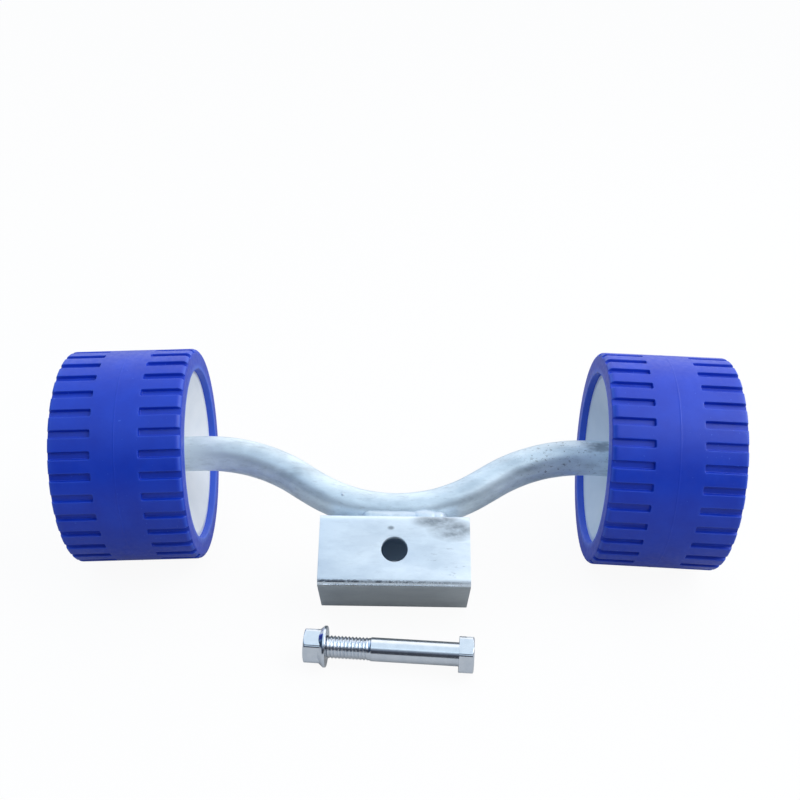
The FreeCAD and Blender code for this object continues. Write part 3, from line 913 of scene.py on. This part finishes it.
@dataclass
class Wheel:
    """One wheel: a ribbed tyre moulded on a dished core. All sizes in millimetres."""

    side: Side
    turn_deg: float
    tyre_radius: float = 60.0
    half_width: float = 34.5
    outer_shoulder: float = 1.5
    inner_shoulder: float = 3.0
    lip: float = 0.8
    core_radius: float = 48.5
    core_face: float = 30.7
    dish_edge: float = 3.0
    dish_depth: float = 13.8
    boss_radius: float = 16.0
    bore_radius: float = 10.08
    core_edges: tuple[float, float, float, float] = (0.4, 0.8, 1.0, 0.25)
    ribs: int = 33
    groove_half_width: float = 2.1
    groove_depth: float = 2.0
    band: float = 25.0
    corner_radius: float = 0.9
    parting_height: float = 0.07
    parting_width: float = 0.22
    face_rings: tuple[float, ...] = (52.0, 55.0, 56.2)
    groove_rings: tuple[float, ...] = (30.5, 28.0, 24.0, 20.0, 17.0, 15.0)
    band_rings: tuple[float, ...] = (11.0, 8.0, 4.0, 1.0, 0.45, 0.22, 0.1)
    floor_columns: tuple[float, ...] = (0.0, 0.7)
    rib_columns: tuple[float, ...] = (3.1, 4.2)
    # The painted highlight on the lip, the shoulders and the grooves' edges: its depth, strengths, reaches and insets.
    pale_depth: float = 0.4
    lip_paleness: float = 0.5
    lip_reach: float = 1.4
    shoulder_paleness: float = 0.3
    shoulder_reach: float = 0.8
    shoulder_inset: float = 0.6
    shoulder_depth: float = 1.6
    groove_paleness: float = 0.1
    groove_reach: float = 0.3
    wall_inset: float = 0.15
    end_inset: float = 0.1

    @property
    def body(self) -> Body:
        """The body that this wheel is."""
        return Body.LEFT_WHEEL if self.side is Side.LEFT else Body.RIGHT_WHEEL

    @cached_property
    def columns(self) -> list[float]:
        """Places round the tread, from a groove's middle to the middle of a rib, closest on the groove's edge."""
        wall = [self.groove_half_width - depth for depth, _ in reversed(GROOVE_WALL)]
        return [*self.floor_columns, *wall, *self.rib_columns, math.pi * self.tyre_radius / self.ribs]

    def half_outline(self, shoulder: float) -> list[tuple[float, float]]:
        """Half the tyre's section, with more points where the grooves end and along the parting line.

        Args:
            shoulder: The rounding between tread and rim.

        Returns:
            The points from the core's lip over the shoulder to the parting line.
        """
        lip_along, lip_out = self.half_width - self.lip, self.core_radius + self.lip
        tread_end, rim_end = self.half_width - shoulder, self.tyre_radius - shoulder
        half = []
        for turn in quarter_turn(steps=4):
            half.append((lip_along + self.lip * math.sin(turn), lip_out - self.lip * math.cos(turn)))
        half += [(self.half_width, radius) for radius in self.face_rings]
        for turn in quarter_turn(steps=10):
            half.append((tread_end + shoulder * math.cos(turn), rim_end + shoulder * math.sin(turn)))
        groove_end = [self.band / 2 + depth for depth, _ in reversed(GROOVE_WALL)]
        return half + [(along, self.tyre_radius) for along in (*self.groove_rings, *groove_end, *self.band_rings)]

    def tyre_outline(self) -> list[tuple[float, float]]:
        """The tyre's closed section, the outer half first."""
        inner = [(-along, radius) for along, radius in reversed(self.half_outline(self.inner_shoulder))]
        return self.half_outline(self.outer_shoulder) + [(0.0, self.tyre_radius)] + inner

    def sunk_share(self, round_place: float, along: float) -> float:
        """How deep the groove is at a place, as a share of its full depth.

        Args:
            round_place: Millimetres round the tread from the groove's middle.
            along: Millimetres along the axle from the wheel's middle.

        Returns:
            The share, 0 on the ribs and 1 on the groove's floor.
        """
        to_wall = self.groove_half_width - abs(round_place)
        to_end = abs(along) - self.band / 2
        corner = self.corner_radius
        if to_wall < corner and to_end < corner:
            inside = corner - math.hypot(corner - to_wall, corner - to_end)
        else:
            inside = min(to_wall, to_end)
        for (low, low_share), (high, high_share) in zip(GROOVE_WALL, GROOVE_WALL[1:]):
            if inside <= high:
                share = max(0.0, (inside - low) / (high - low))
                return low_share + (high_share - low_share) * share
        return 1.0

    def carve(self, spot: Vector) -> Vector:
        """Moves a point of the spun tyre to its column and sinks it into the groove there.

        Args:
            spot: The point.

        Returns:
            Its new place.
        """
        places = self.columns
        half_count = len(places) - 1
        count = 2 * half_count
        radius = math.hypot(spot.y, spot.z)
        number = round(math.atan2(spot.y, spot.z) / (math.tau / self.ribs / count))
        rib = math.floor(number / count + 0.5)
        column = number - rib * count
        round_place = math.copysign(places[abs(column)], column)
        angle = rib * math.tau / self.ribs + round_place / self.tyre_radius
        if radius > self.tyre_radius - TOUCH_MM:
            radius += self.parting_height * bell(spot.x, self.parting_width)
        above_floor = max(0.0, radius - self.tyre_radius + self.groove_depth)
        radius -= above_floor * self.sunk_share(round_place, spot.x)
        return Vector((spot.x, radius * math.sin(angle), radius * math.cos(angle)))

    def mark_edges(self, piece: bpy.types.Object, matrix: Matrix) -> None:
        """Gives the tyre the value that its finish reads as painted highlight: how near each point is to the lip, the
        shoulders or a groove's walls and ends.

        Args:
            piece: The tyre.
            matrix: From the wheel's frame to the model's, in millimetres.
        """
        back = matrix.inverted()
        attribute = piece.data.attributes.new("edge", "FLOAT", "POINT")
        rim_middle = self.core_radius + self.lip
        pitch = math.tau / self.ribs
        for vert, value in zip(piece.data.vertices, attribute.data):
            spot = back @ (vert.co / MM)
            radius = math.hypot(spot.y, spot.z)
            off_face = abs(spot.x) - self.half_width
            lip = bell(radius - rim_middle, self.lip_reach) * (off_face > -self.lip - self.pale_depth)
            on_shoulder = radius > self.tyre_radius - self.shoulder_depth
            shoulder = bell(off_face + self.shoulder_inset, self.shoulder_reach) * on_shoulder
            angle = math.atan2(spot.y, spot.z) % pitch
            off_wall = min(angle, pitch - angle) * self.tyre_radius - self.groove_half_width
            off_end = self.band / 2 - abs(spot.x)
            along_wall = bell(off_wall - self.wall_inset, self.groove_reach) * (off_end < 0)
            across_end = bell(off_end - self.end_inset, self.groove_reach) * (off_wall < self.groove_reach)
            groove = max(along_wall, across_end) * (radius > self.tyre_radius - self.pale_depth)
            # The painted highlight, strongest on the lip, fainter on the shoulders and the grooves' edges.
            pale = self.lip_paleness * lip + self.shoulder_paleness * shoulder + self.groove_paleness * groove
            value.value = min(1.0, pale)

    def build(self) -> None:
        """Makes the tyre and the core and lays them on the bar."""
        matrix = axle_frame(self.side) @ Matrix.Rotation(math.radians(self.turn_deg), 4, "X")
        turns = 2 * (len(self.columns) - 1) * self.ribs
        tyre = Sketch().outline(self.tyre_outline()).spin(turns).move_each(self.carve)
        name = f"{self.side.word}_ribbed_tyre"
        piece = Piece(name, BLUE, self.body, f"{self.side.word}_tyre").add(tyre, matrix, smooth_under=75)
        self.mark_edges(piece, matrix)
        dish_floor = self.core_face - self.dish_depth
        dish_radius = self.core_radius - self.dish_edge
        half = [
            (dish_floor, self.bore_radius, self.core_edges[0]),
            (dish_floor, self.boss_radius, self.core_edges[1]),
            (self.core_face, dish_radius, self.core_edges[2]),
            (self.core_face, self.core_radius, self.core_edges[3]),
        ]
        mirrored = [(-along, out, radius) for along, out, radius in reversed(half)]
        core = Sketch().outline(rounded(half + mirrored)).spin(steps=192)
        Piece(f"{self.side.word}_dished_core", WHITE, self.body, f"{self.side.word}_core").add(core, matrix)


@dataclass
class BarEnd:
    """What holds a wheel on its end of the bar: stop collar, two washers and a split pin. In millimetres."""

    side: Side
    washer_outside: float = 19.9
    washer_thickness: float = 2.5
    washer_bore: float = 10.5
    washer_radius: float = 17.0
    washer_edge: float = 0.5
    collar_width: float = 3.0
    collar_radius: float = 14.05
    collar_bore: float = 10.05
    collar_edge: float = 0.6
    bore_edge: float = 0.3

    def ring(self, name: str, near: float, shape: tuple[float, float, float, float], finish: Finish) -> None:
        """Makes one ring round the bar.

        Args:
            name: The node's own name without its side.
            near: Where the ring starts along the bar, from the wheel's middle.
            shape: Its width along the bar, the radius of its hole, its outer radius and the rounding there.
            finish: Its finish.
        """
        width, bore, radius, edge = shape
        near_face = [(near, bore, self.bore_edge), (near, radius, edge)]
        far_face = [(near + width, radius, edge), (near + width, bore, self.bore_edge)]
        sketch = Sketch().outline(rounded(near_face + far_face)).spin(steps=128)
        node = f"{self.side.word}_{name}"
        Piece(f"{node}_dressed", finish, Body.FRAME, node).add(sketch, axle_frame(self.side))

    def build(self) -> None:
        """Makes the rings, and dresses the split pin."""
        outside = self.washer_outside
        washer = (self.washer_thickness, self.washer_bore, self.washer_radius, self.washer_edge)
        self.ring("inner_washer", -outside, washer, ZINC)
        self.ring("outer_washer", outside - self.washer_thickness, washer, ZINC)
        collar = (self.collar_width, self.collar_bore, self.collar_radius, self.collar_edge)
        self.ring("stop_collar", -outside - self.collar_width, collar, GALVANISED)
        dress_copy(f"{self.side.word}_split_pin", ZINC)


def dress_copy(node: str, finish: Finish) -> None:
    """Shows a node through a merged, smoothly shaded copy of its mesh.

    Args:
        node: The node's name.
        finish: Its finish.
    """
    sketch = Sketch()
    sketch.bm.from_mesh(frame["nodes"][node].data)
    bmesh.ops.remove_doubles(sketch.bm, verts=sketch.bm.verts, dist=TOUCH_MM * MM)
    to_mm = Matrix.Scale(1 / MM, 4)
    bmesh.ops.transform(sketch.bm, matrix=to_mm, verts=sketch.bm.verts)
    Piece(f"{node}_dressed", finish, Body.FRAME, node).add(sketch, Matrix.Identity(4))


@dataclass
class GullWingBar:
    """The bent round bar, in millimetres, drawn upright. Its ends are where the joints say."""

    radius: float = 10.0
    saddle_height: float = 30.0
    saddle_radius: float = 86.0
    slope_deg: float = 32.8346
    arm: float = 10.0
    knee_radius: float = 95.0
    droop_deg: float = 2.5
    end: float = 65.7
    chamfer: float = 1.2
    segments: int = 72
    zinc_wave: float = 0.07
    zinc_scales: tuple[float, float] = (0.11, 0.31)
    narrow_share: float = 0.5

    def coat(self, spot: Vector) -> Vector:
        """Moves a point of the surface as the zinc lies thicker or thinner on it.

        Args:
            spot: The point.

        Returns:
            Its new place.
        """
        broad, narrow = (noise.noise(spot * scale) for scale in self.zinc_scales)
        out = (spot - Vector((spot.x, 0, self.line_height(abs(spot.x))))).normalized()
        return spot + out * (broad + self.narrow_share * narrow) * self.zinc_wave

    @cached_property
    def stations(self) -> tuple[Vector, Vector, Vector, Vector]:
        """Places of the bar's middle line on the right half.

        Returns:
            The end of the saddle, the end of the arm, the middle of the knee's bend and the end of the knee.
        """
        slope, droop = math.radians(self.slope_deg), math.radians(self.droop_deg)
        rise = self.saddle_height + self.saddle_radius * (1 - math.cos(slope))
        saddle_end = Vector((self.saddle_radius * math.sin(slope), 0, rise))
        arm_end = saddle_end + Vector((math.cos(slope), 0, math.sin(slope))) * self.arm
        knee = arm_end + Vector((math.sin(slope), 0, -math.cos(slope))) * self.knee_radius
        return saddle_end, arm_end, knee, knee + Vector((math.sin(droop), 0, math.cos(droop))) * self.knee_radius

    def line_height(self, out: float) -> float:
        """The height of the bar's middle line.

        Args:
            out: How far from the middle of the roller.

        Returns:
            The height over the bolt hole.
        """
        saddle_end, arm_end, knee, knee_end = self.stations
        if out < saddle_end.x:
            return self.saddle_height + self.saddle_radius - math.sqrt(self.saddle_radius**2 - out**2)
        if out < arm_end.x:
            return saddle_end.z + (out - saddle_end.x) * math.tan(math.radians(self.slope_deg))
        if out < knee_end.x:
            return knee.z + math.sqrt(self.knee_radius**2 - (out - knee.x) ** 2)
        return knee_end.z - (out - knee_end.x) * math.tan(math.radians(self.droop_deg))

    def build(self) -> None:
        """Sweeps the right half, mirrors it and lays it back."""
        slope, droop = math.radians(self.slope_deg), math.radians(self.droop_deg)
        saddle_end, arm_end, knee, _ = self.stations
        along_end = Vector((math.cos(droop), 0, -math.sin(droop)))
        sketch = Sketch().circle(self.radius, self.segments, Vector((0, 0, self.saddle_height)))
        sketch.bend(Vector((0, 0, self.saddle_height + self.saddle_radius)), -slope, steps=44)
        sketch.straight(arm_end - saddle_end, steps=8)
        sketch.bend(knee, slope + droop, steps=40)
        sketch.straight(along_end * (self.end - self.chamfer), steps=60)
        sketch.move_each(self.coat)
        sketch.straight(along_end * self.chamfer, steps=1)
        tip = {vert for edge in sketch.rim for vert in edge.verts}
        middle = sum((vert.co for vert in tip), Vector()) / len(tip)
        narrowed = Vector((1, 1, 1)) * (1 - self.chamfer / self.radius)
        bmesh.ops.scale(sketch.bm, vec=narrowed, space=Matrix.Translation(-middle), verts=list(tip))
        bmesh.ops.edgeloop_fill(sketch.bm, edges=sketch.rim)
        half = sketch.bm.verts[:] + sketch.bm.edges[:] + sketch.bm.faces[:]
        bmesh.ops.mirror(sketch.bm, geom=half, axis="X", merge_dist=0.01)
        Piece("gull_wing_bar", GALVANISED_BAR, Body.FRAME, "axle_bar").add(sketch, UPRIGHT)


@dataclass
class SquareTube:
    """The square tube with its bolt hole, in millimetres, drawn upright about the hole's middle."""

    side: float = 40.0
    length: float = 80.0
    wall: float = 3.0
    corner: float = 4.0
    inner_corner: float = 1.5
    hole_radius: float = 7.0
    edge: float = 0.45
    overshoot: float = 10.0

    def rod(self, half: float, corner: float, length: float) -> Sketch:
        """A solid square rod with rounded long edges.

        Args:
            half: Half its side.
            corner: Radius of the long edges.
            length: Its length.

        Returns:
            The sketch of it.
        """
        sketch = Sketch()
        bmesh.ops.create_cube(sketch.bm, size=1, matrix=Matrix.Diagonal((length, 2 * half, 2 * half, 1)))
        long_edges = [edge for edge in sketch.bm.edges if abs(edge.verts[0].co.x - edge.verts[1].co.x) > 1]
        return sketch.bevel(long_edges, corner, segments=10)

    def build(self) -> None:
        """Hollows the rod, drills it, softens its edges and lays it back."""
        drill = Sketch()
        bmesh.ops.create_cone(
            drill.bm,
            cap_ends=True,
            segments=128,
            radius1=self.hole_radius,
            radius2=self.hole_radius,
            depth=2 * self.side,
            matrix=Matrix.Rotation(math.pi / 2, 4, "X"),
        )
        hollow = self.rod(self.side / 2 - self.wall, self.inner_corner, self.length + self.overshoot)
        sketch = self.rod(self.side / 2, self.corner, self.length).cut(hollow).cut(drill)
        sketch.bevel(sketch.sharp_edges(), self.edge, segments=3)
        Piece("drilled_square_tube", GALVANISED_TUBE, Body.FRAME, "bracket_tube").add(sketch, UPRIGHT, smooth_under=30)


@dataclass
class WeldBead:
    """A weld bead in the corner between bar and tube, in millimetres, drawn upright."""

    front: bool
    middle: float = 5.0
    length: float = 38.0
    radius: float = 4.6
    setback: float = 8.2
    height: float = 21.6
    ripple_pitch: float = 2.6
    ripple_depth: float = 0.07
    ripple_lean: float = 0.9
    unevenness: float = 0.4
    uneven_scale: float = 0.16
    seeds: tuple[float, float] = (8.1, 3.7)
    lump_place: float = 11.0
    lump_reach: float = 4.5
    lump_height: float = 0.8
    spatter: Triple = (-29.0, -9.7, 35.3)
    spatter_radius: float = 0.9

    def swell(self, spot: Vector) -> Vector:
        """Rounds the bead's ends and raises its ripples.

        Args:
            spot: A point of a plain tube about the X axis.

        Returns:
            Its new place.
        """
        past = max(0.0, abs(spot.x) - self.length / 2)
        share = math.sqrt(max(0.0, 1 - (past / self.radius) ** 2))
        around = math.atan2(spot.z, spot.y)
        phase = (spot.x + self.ripple_lean * math.cos(around)) / self.ripple_pitch
        ripple = self.ripple_depth * abs(math.sin(math.pi * phase))
        place = Vector((spot.x * self.uneven_scale, around, self.seeds[self.front]))
        uneven = self.unevenness * noise.noise(place)
        lump = self.lump_height * bell(spot.x - self.lump_place, self.lump_reach, power=4)
        radius = share * (self.radius - self.ripple_depth / 2 + ripple + uneven + lump)
        return Vector((spot.x, radius * math.cos(around), radius * math.sin(around)))

    def build(self) -> None:
        """Makes the bead and lays it in its corner."""
        reach = self.length / 2 + self.radius
        sketch = Sketch().circle(self.radius, segments=48, place=Vector((-reach, 0, 0)))
        sketch.straight(ALONG * 2 * reach, steps=240).move_each(self.swell)
        bmesh.ops.remove_doubles(sketch.bm, verts=sketch.bm.verts, dist=TOUCH_MM)
        across = -self.setback if self.front else self.setback
        place = Matrix.Translation((self.middle, across, self.height))
        if self.front:
            drop = place.inverted() @ Matrix.Translation(self.spatter)
            bmesh.ops.create_icosphere(sketch.bm, subdivisions=3, radius=self.spatter_radius, matrix=drop)
        name = "front" if self.front else "back"
        Piece(f"{name}_weld_bead", GALVANISED, Body.FRAME, f"weld_{name}").add(sketch, UPRIGHT @ place, smooth_under=60)


@dataclass
class LooseBolt:
    """The bolt and its flange nut, in millimetres, as they lie on the floor in front of the roller."""

    shank_radius: float = 6.0
    length: float = 75.0
    thread_length: float = 30.0
    crest: float = 5.75
    root: float = 5.1
    pitch: float = 1.8
    point: float = 1.2
    ridge_slope: float = 1.25
    ridge_sunk: float = 0.1
    faded_ridge: float = 0.8
    run_out: float = 0.25
    run_out_step: float = 0.35
    head_flats: float = 18.0
    head_height: float = 7.5
    head_crown: float = 1.1
    head_crown_loss: float = 1.8
    ring_inset: float = 1.0
    hex_edge: float = 0.5
    hex_edge_spread: float = 2.5
    crowding: float = 1.5
    nut_flats: float = 17.0
    nut_height: float = 11.5
    nut_crown: float = 2.2
    nut_crown_loss: float = 2.6
    nut_bore: float = 5.5
    bore_edge: float = 0.6
    nut_sunk: float = 0.8
    flange_radius: float = 10.5
    flange_rim: float = 1.4
    flange_cone: float = 2.4
    flange_edge: float = 0.45
    cone_edges: tuple[float, float] = (1.0, 0.2)
    nut_inset: float = 3.5
    corner_lift_deg: float = 42.0
    yaw_deg: float = 3.3
    right: float = -2.2
    front: float = 53.0
    sides: int = 6
    columns: int = 24

    @property
    def flange_face(self) -> float:
        """Where the nut's bearing face is, from the bolt's point."""
        return self.nut_height - self.nut_inset

    def matrix(self) -> Matrix:
        """Lays the bolt on its head's lowest corner and on the nut's flange.

        Returns:
            The matrix from the bolt frame to the model's, in millimetres.
        """
        lift = math.radians(self.corner_lift_deg)
        corner = self.head_flats / math.sqrt(3)
        reach = corner * max(-math.sin(lift - k * math.tau / self.sides) for k in range(self.sides))
        dip = math.asin((self.flange_radius - reach) / (self.length - self.flange_face))
        turn = Matrix.Rotation(-math.radians(self.yaw_deg), 4, "Z") @ Matrix.Rotation(dip, 4, "Y")
        middle = Vector(((self.length + self.head_height - self.nut_inset) / 2, 0, 0))
        on_flange = turn @ (Vector((self.flange_face, 0, 0)) - middle)
        floor = CAD_BOX[0][2] / MM
        height = floor + self.flange_radius * math.cos(dip) - on_flange.z
        spot = Vector((self.right, -self.front, height))
        return Matrix.Translation(spot - turn @ middle) @ turn

    def hexagon(self, flats: float, outline: list[tuple[float, float]]) -> Sketch:
        """A spun outline pressed into a hexagon, its outermost points as far out as the flats let them.

        Args:
            flats: Size across the flats.
            outline: The outline at the corners, as places along X with their radius.

        Returns:
            The sketch of it.
        """
        steps = self.sides * self.columns
        half_side = math.pi / self.sides
        corner_at = math.pi - math.radians(self.corner_lift_deg)

        def press(spot: Vector) -> Vector:
            """Presses a point in to the nearest flat, and crowds the columns at the corners.

            Args:
                spot: The point.

            Returns:
                Its new place.
            """
            angle = math.atan2(spot.z, spot.y)
            radius = math.hypot(spot.y, spot.z)
            off = (angle + half_side) % (2 * half_side) - half_side
            crowded = math.copysign(abs(off / half_side) ** self.crowding * half_side, off)
            angle = angle - off + crowded
            flat = flats / 2 / math.cos(half_side - abs(crowded))
            corner = flats / 2 / math.cos(half_side)
            spread = self.hex_edge_spread * self.hex_edge
            rounding = self.hex_edge * max(0.0, 1 - abs(crowded) * corner / spread) ** 2
            radius = min(radius, flat - rounding)
            return Vector((spot.x, radius * math.cos(angle + corner_at), radius * math.sin(angle + corner_at)))

        return Sketch().outline(outline).spin(steps).move_each(press)

    def thread(self, spot: Vector) -> Vector:
        """Cuts a plain rod's point down to the helical thread.

        Args:
            spot: A point of the rod.

        Returns:
            Its new place.
        """
        turn = math.atan2(spot.z, spot.y) / math.tau
        share = (spot.x / self.pitch - turn) % 1
        ridge = min(1.0, max(0.0, self.ridge_slope * (1 - abs(2 * share - 1)) - self.ridge_sunk))
        fade = min(1.0, max(0.0, (self.thread_length - spot.x) / self.pitch))
        pointed = max(0.0, self.point - spot.x)
        height = ridge * fade + (1 - fade) * self.faded_ridge
        radius = self.root + (self.crest - self.root) * height - pointed
        old = math.hypot(spot.y, spot.z)
        return Vector((spot.x, spot.y * radius / old, spot.z * radius / old))

    def build_bolt(self, matrix: Matrix) -> None:
        """Makes head, shank and thread as one piece.

        Args:
            matrix: The bolt frame in the model's frame.
        """
        corner = self.head_flats / math.sqrt(3)
        inner = self.shank_radius - self.ring_inset
        top = self.length + self.head_height
        crown_start = top - self.head_crown
        outline = [(self.length, inner), (self.length, corner)]
        outline += [(self.length + (crown_start - self.length) * k / 4, corner) for k in range(1, 4)]
        shares = [k / 8 for k in range(9)]
        outline += [(crown_start + self.head_crown * share, corner - self.head_crown_loss * share) for share in shares]
        outline += [(top, corner - self.head_crown_loss - self.ring_inset), (top, inner)]
        sketch = self.hexagon(self.head_flats, outline)
        inside = [
            edge
            for edge in sketch.bm.edges
            if abs(math.hypot(*edge.verts[0].co.yz) - inner) < TOUCH_MM
            and abs(edge.verts[0].co.x - edge.verts[1].co.x) > 1
        ]
        bmesh.ops.delete(sketch.bm, geom=inside, context="EDGES_FACES")
        sketch.cap()
        rod = Sketch().circle(self.crest, segments=72, place=Vector())
        rod.straight(ALONG * self.thread_length, steps=260).move_each(self.thread)
        for radius in (self.shank_radius - self.run_out, self.shank_radius):
            rod.straight(ALONG * self.run_out_step, steps=1)
            for vert in {vert for edge in rod.rim for vert in edge.verts}:
                vert.co.yz = vert.co.yz.normalized() * radius
        rod.straight(ALONG * (self.length - self.thread_length), steps=30).cap()
        sketch.join(rod)
        Piece("threaded_bolt", ZINC, Body.FRAME, "hex_bolt").add(sketch, matrix, smooth_under=35)

    def build_nut(self, matrix: Matrix) -> None:
        """Makes the nut's crowned hexagon on its flange.

        Args:
            matrix: The bolt frame in the model's frame.
        """
        corner = self.nut_flats / math.sqrt(3)
        outer = -self.nut_inset
        crown_end = outer + self.nut_crown
        sunk = self.flange_face - self.nut_sunk
        bore, edge = self.nut_bore, self.bore_edge
        outline = [(sunk, bore), (outer + edge, bore), (outer, bore + edge)]
        for turn in quarter_turn(steps=12):
            loss = self.nut_crown_loss * (1 - math.sin(turn))
            outline.append((outer + self.nut_crown * (1 - math.cos(turn)), corner - loss))
        outline += [(crown_end + (sunk - crown_end) * k / 5, corner) for k in range(1, 6)]
        rim = self.flange_face - self.flange_rim
        flange = [
            (self.flange_face, bore, edge),
            (self.flange_face, self.flange_radius, self.flange_edge),
            (rim, self.flange_radius, self.flange_edge),
            (rim - self.flange_cone, self.nut_flats / 2, self.cone_edges[0]),
            (rim - self.flange_cone, bore, self.cone_edges[1]),
        ]
        sketch = self.hexagon(self.nut_flats, outline).join(Sketch().outline(rounded(flange)).spin(steps=144))
        Piece("crowned_flange_nut", ZINC, Body.FRAME, "flange_nut").add(sketch, matrix, smooth_under=35)

    def build(self) -> None:
        """Makes the bolt and the nut and lays them on the floor."""
        matrix = self.matrix()
        self.build_bolt(matrix)
        self.build_nut(matrix)


@dataclass(frozen=True)
class Studio:
    """The photograph's camera, one soft lamp, the sky and the floor. Lengths are metres where no unit is named."""

    eye_mm: Triple = (2.58, -426.576, 320.157)
    downwards_deg: float = 30.917
    leftwards_deg: float = 1.380
    roll_deg: float = -0.025
    focal_px: float = 973.8
    shift_px: tuple[float, float] = (19.75, 60.0)
    nearest: float = 0.01
    lamp_place: Triple = (1.15, -0.1, 0.95)
    lamp_size: float = 1.4
    lamp_watts: float = 14.0
    floor_size: float = 12.0
    floor_colour: Colour = (0.47, 0.46, 0.45)
    seen_floor: Colour = (0.88, 0.86, 0.84)
    seen_white: float = 0.94
    mirrored_white: float = 0.14
    horizon: Colour = (0.05, 0.055, 0.07)
    back_wall: Colour = (1.25, 1.27, 1.29)
    back_limits: tuple[float, float] = (0.15, 0.6)
    left_tint: Colour = (0.40, 0.68, 1.02)
    left_limits: tuple[float, float] = (-0.1, -0.8)
    sky_bands: Bands = (
        (0.42, (0.06, 0.07, 0.09)),
        (0.52, (0.48, 0.56, 0.64)),
        (0.62, (0.88, 1.02, 1.15)),
        (0.80, (0.84, 0.98, 1.10)),
        (0.95, (0.64, 0.75, 0.85)),
    )
    mirrored_bands: Bands = (
        (0.46, (0.05, 0.055, 0.07)),
        (0.60, (0.17, 0.20, 0.26)),
        (0.73, (0.34, 0.41, 0.50)),
        (0.82, (0.94, 1.12, 1.26)),
        (0.95, (0.80, 0.94, 1.06)),
    )

    def add_camera(self) -> None:
        """Places the photograph's camera."""
        data = bpy.data.cameras.new("photo_camera")
        data.sensor_width = SENSOR_MM
        data.lens = self.focal_px / IMAGE_PX * SENSOR_MM
        data.shift_x, data.shift_y = (shift / IMAGE_PX for shift in self.shift_px)
        data.clip_start = self.nearest
        camera = link_object("photo_camera", data)
        turned = Matrix.Rotation(math.radians(self.leftwards_deg), 4, "Z")
        tilted = Matrix.Rotation(math.radians(90 - self.downwards_deg), 4, "X")
        rolled = Matrix.Rotation(math.radians(self.roll_deg), 4, "Z")
        camera.matrix_world = Matrix.Translation(Vector(self.eye_mm) * MM) @ turned @ tilted @ rolled
        bpy.context.scene.camera = camera

    def add_lamp(self) -> None:
        """Hangs a square soft lamp and turns it to the roller."""
        data = bpy.data.lights.new("key_lamp", "AREA")
        data.shape = "SQUARE"
        data.size = self.lamp_size
        data.energy = self.lamp_watts
        lamp = link_object("key_lamp", data)
        lamp.location = self.lamp_place
        lamp.rotation_euler = (-lamp.location).to_track_quat("-Z", "Y").to_euler()

    def add_floor(self) -> None:
        """Lays the floor: pale under the sky, and nearly white with a soft shadow where the camera sees it."""
        sketch = Sketch()
        bmesh.ops.create_grid(sketch.bm, x_segments=1, y_segments=1, size=self.floor_size / 2)
        floor = link_object("floor", into_mesh("floor", sketch.bm))
        floor.location.z = CAD_BOX[0][2]
        material = bpy.data.materials.new("pale_floor")
        tree = Nodes(material)
        tree.nodes.clear()
        white: Value = 0.0
        shares = {"Camera": self.seen_white, "Glossy": self.mirrored_white, "Transmission": self.seen_white}
        for kind, share in shares.items():
            white = tree.calculate("MULTIPLY_ADD", tree.ray(kind), share, white)
        colour = tree.mix(tree.ray("Camera"), self.floor_colour, self.seen_floor)
        matt = tree.node("BsdfDiffuse", {"Color": colour})["BSDF"]
        surface = tree.mix_shaders(white, matt, tree.node("Emission", {})["Emission"])
        tree.node("OutputMaterial", {"Surface": surface})
        floor.data.materials.append(material)

    def sky_ramp(self, tree: Nodes, height: Socket, bands: Bands) -> Socket:
        """The sky's colour by height, from the dark horizon up.

        Args:
            tree: The world's nodes.
            height: The socket of the height, 0 at the horizon and 1 overhead.
            bands: Heights with the colour there.

        Returns:
            The socket of the colour.
        """
        ramp = tree.nodes.new("ShaderNodeValToRGB")
        tree.feed(ramp.inputs["Fac"], height)
        stops = ramp.color_ramp.elements
        stops[0].position, stops[0].color = 0.0, (*self.horizon, 1)
        stops[1].position, stops[1].color = bands[-1][0], (*bands[-1][1], 1)
        for position, colour in bands[:-1]:
            stops.new(position).color = (*colour, 1)
        return ramp.outputs["Color"]

    def add_sky(self) -> None:
        """Surrounds the roller with a soft sky: bright above, dark low in front, pale behind, white to the camera."""
        world = bpy.data.worlds.new("studio_sky")
        bpy.context.scene.world = world
        tree = Nodes(world)
        tree.nodes.clear()
        way = tree.node("SeparateXYZ", {"Vector": tree.node("TexCoord", {})["Generated"]})
        ramps = [self.sky_ramp(tree, way["Z"], bands) for bands in (self.sky_bands, self.mirrored_bands)]
        sky = tree.mix(tree.ray("Glossy"), *ramps)
        sky = tree.mix(tree.remap(way["Y"], self.back_limits, smooth=True), sky, self.back_wall)
        sky = tree.mix(tree.remap(way["X"], self.left_limits, smooth=True), sky, self.left_tint, "MULTIPLY")
        lit, seen = (tree.node("Background", {"Color": colour})["Background"] for colour in (sky, (1.0, 1.0, 1.0)))
        tree.node("OutputWorld", {"Surface": tree.mix_shaders(tree.ray("Camera"), lit, seen)})

    def build(self) -> None:
        """Sets up everything that isn't the roller."""
        self.add_camera()
        self.add_lamp()
        self.add_floor()
        self.add_sky()
        bpy.context.scene.view_settings.view_transform = "Standard"


def main() -> None:
    """Builds the studio and the roller, piece by piece."""
    Studio().build()
    for side, turn_deg in WHEEL_TURNS_DEG.items():
        Wheel(side, turn_deg).build()
        BarEnd(side).build()
    GullWingBar().build()
    SquareTube().build()
    for front in (True, False):
        WeldBead(front).build()
    LooseBolt().build()


if __name__ == "__main__":
    main()
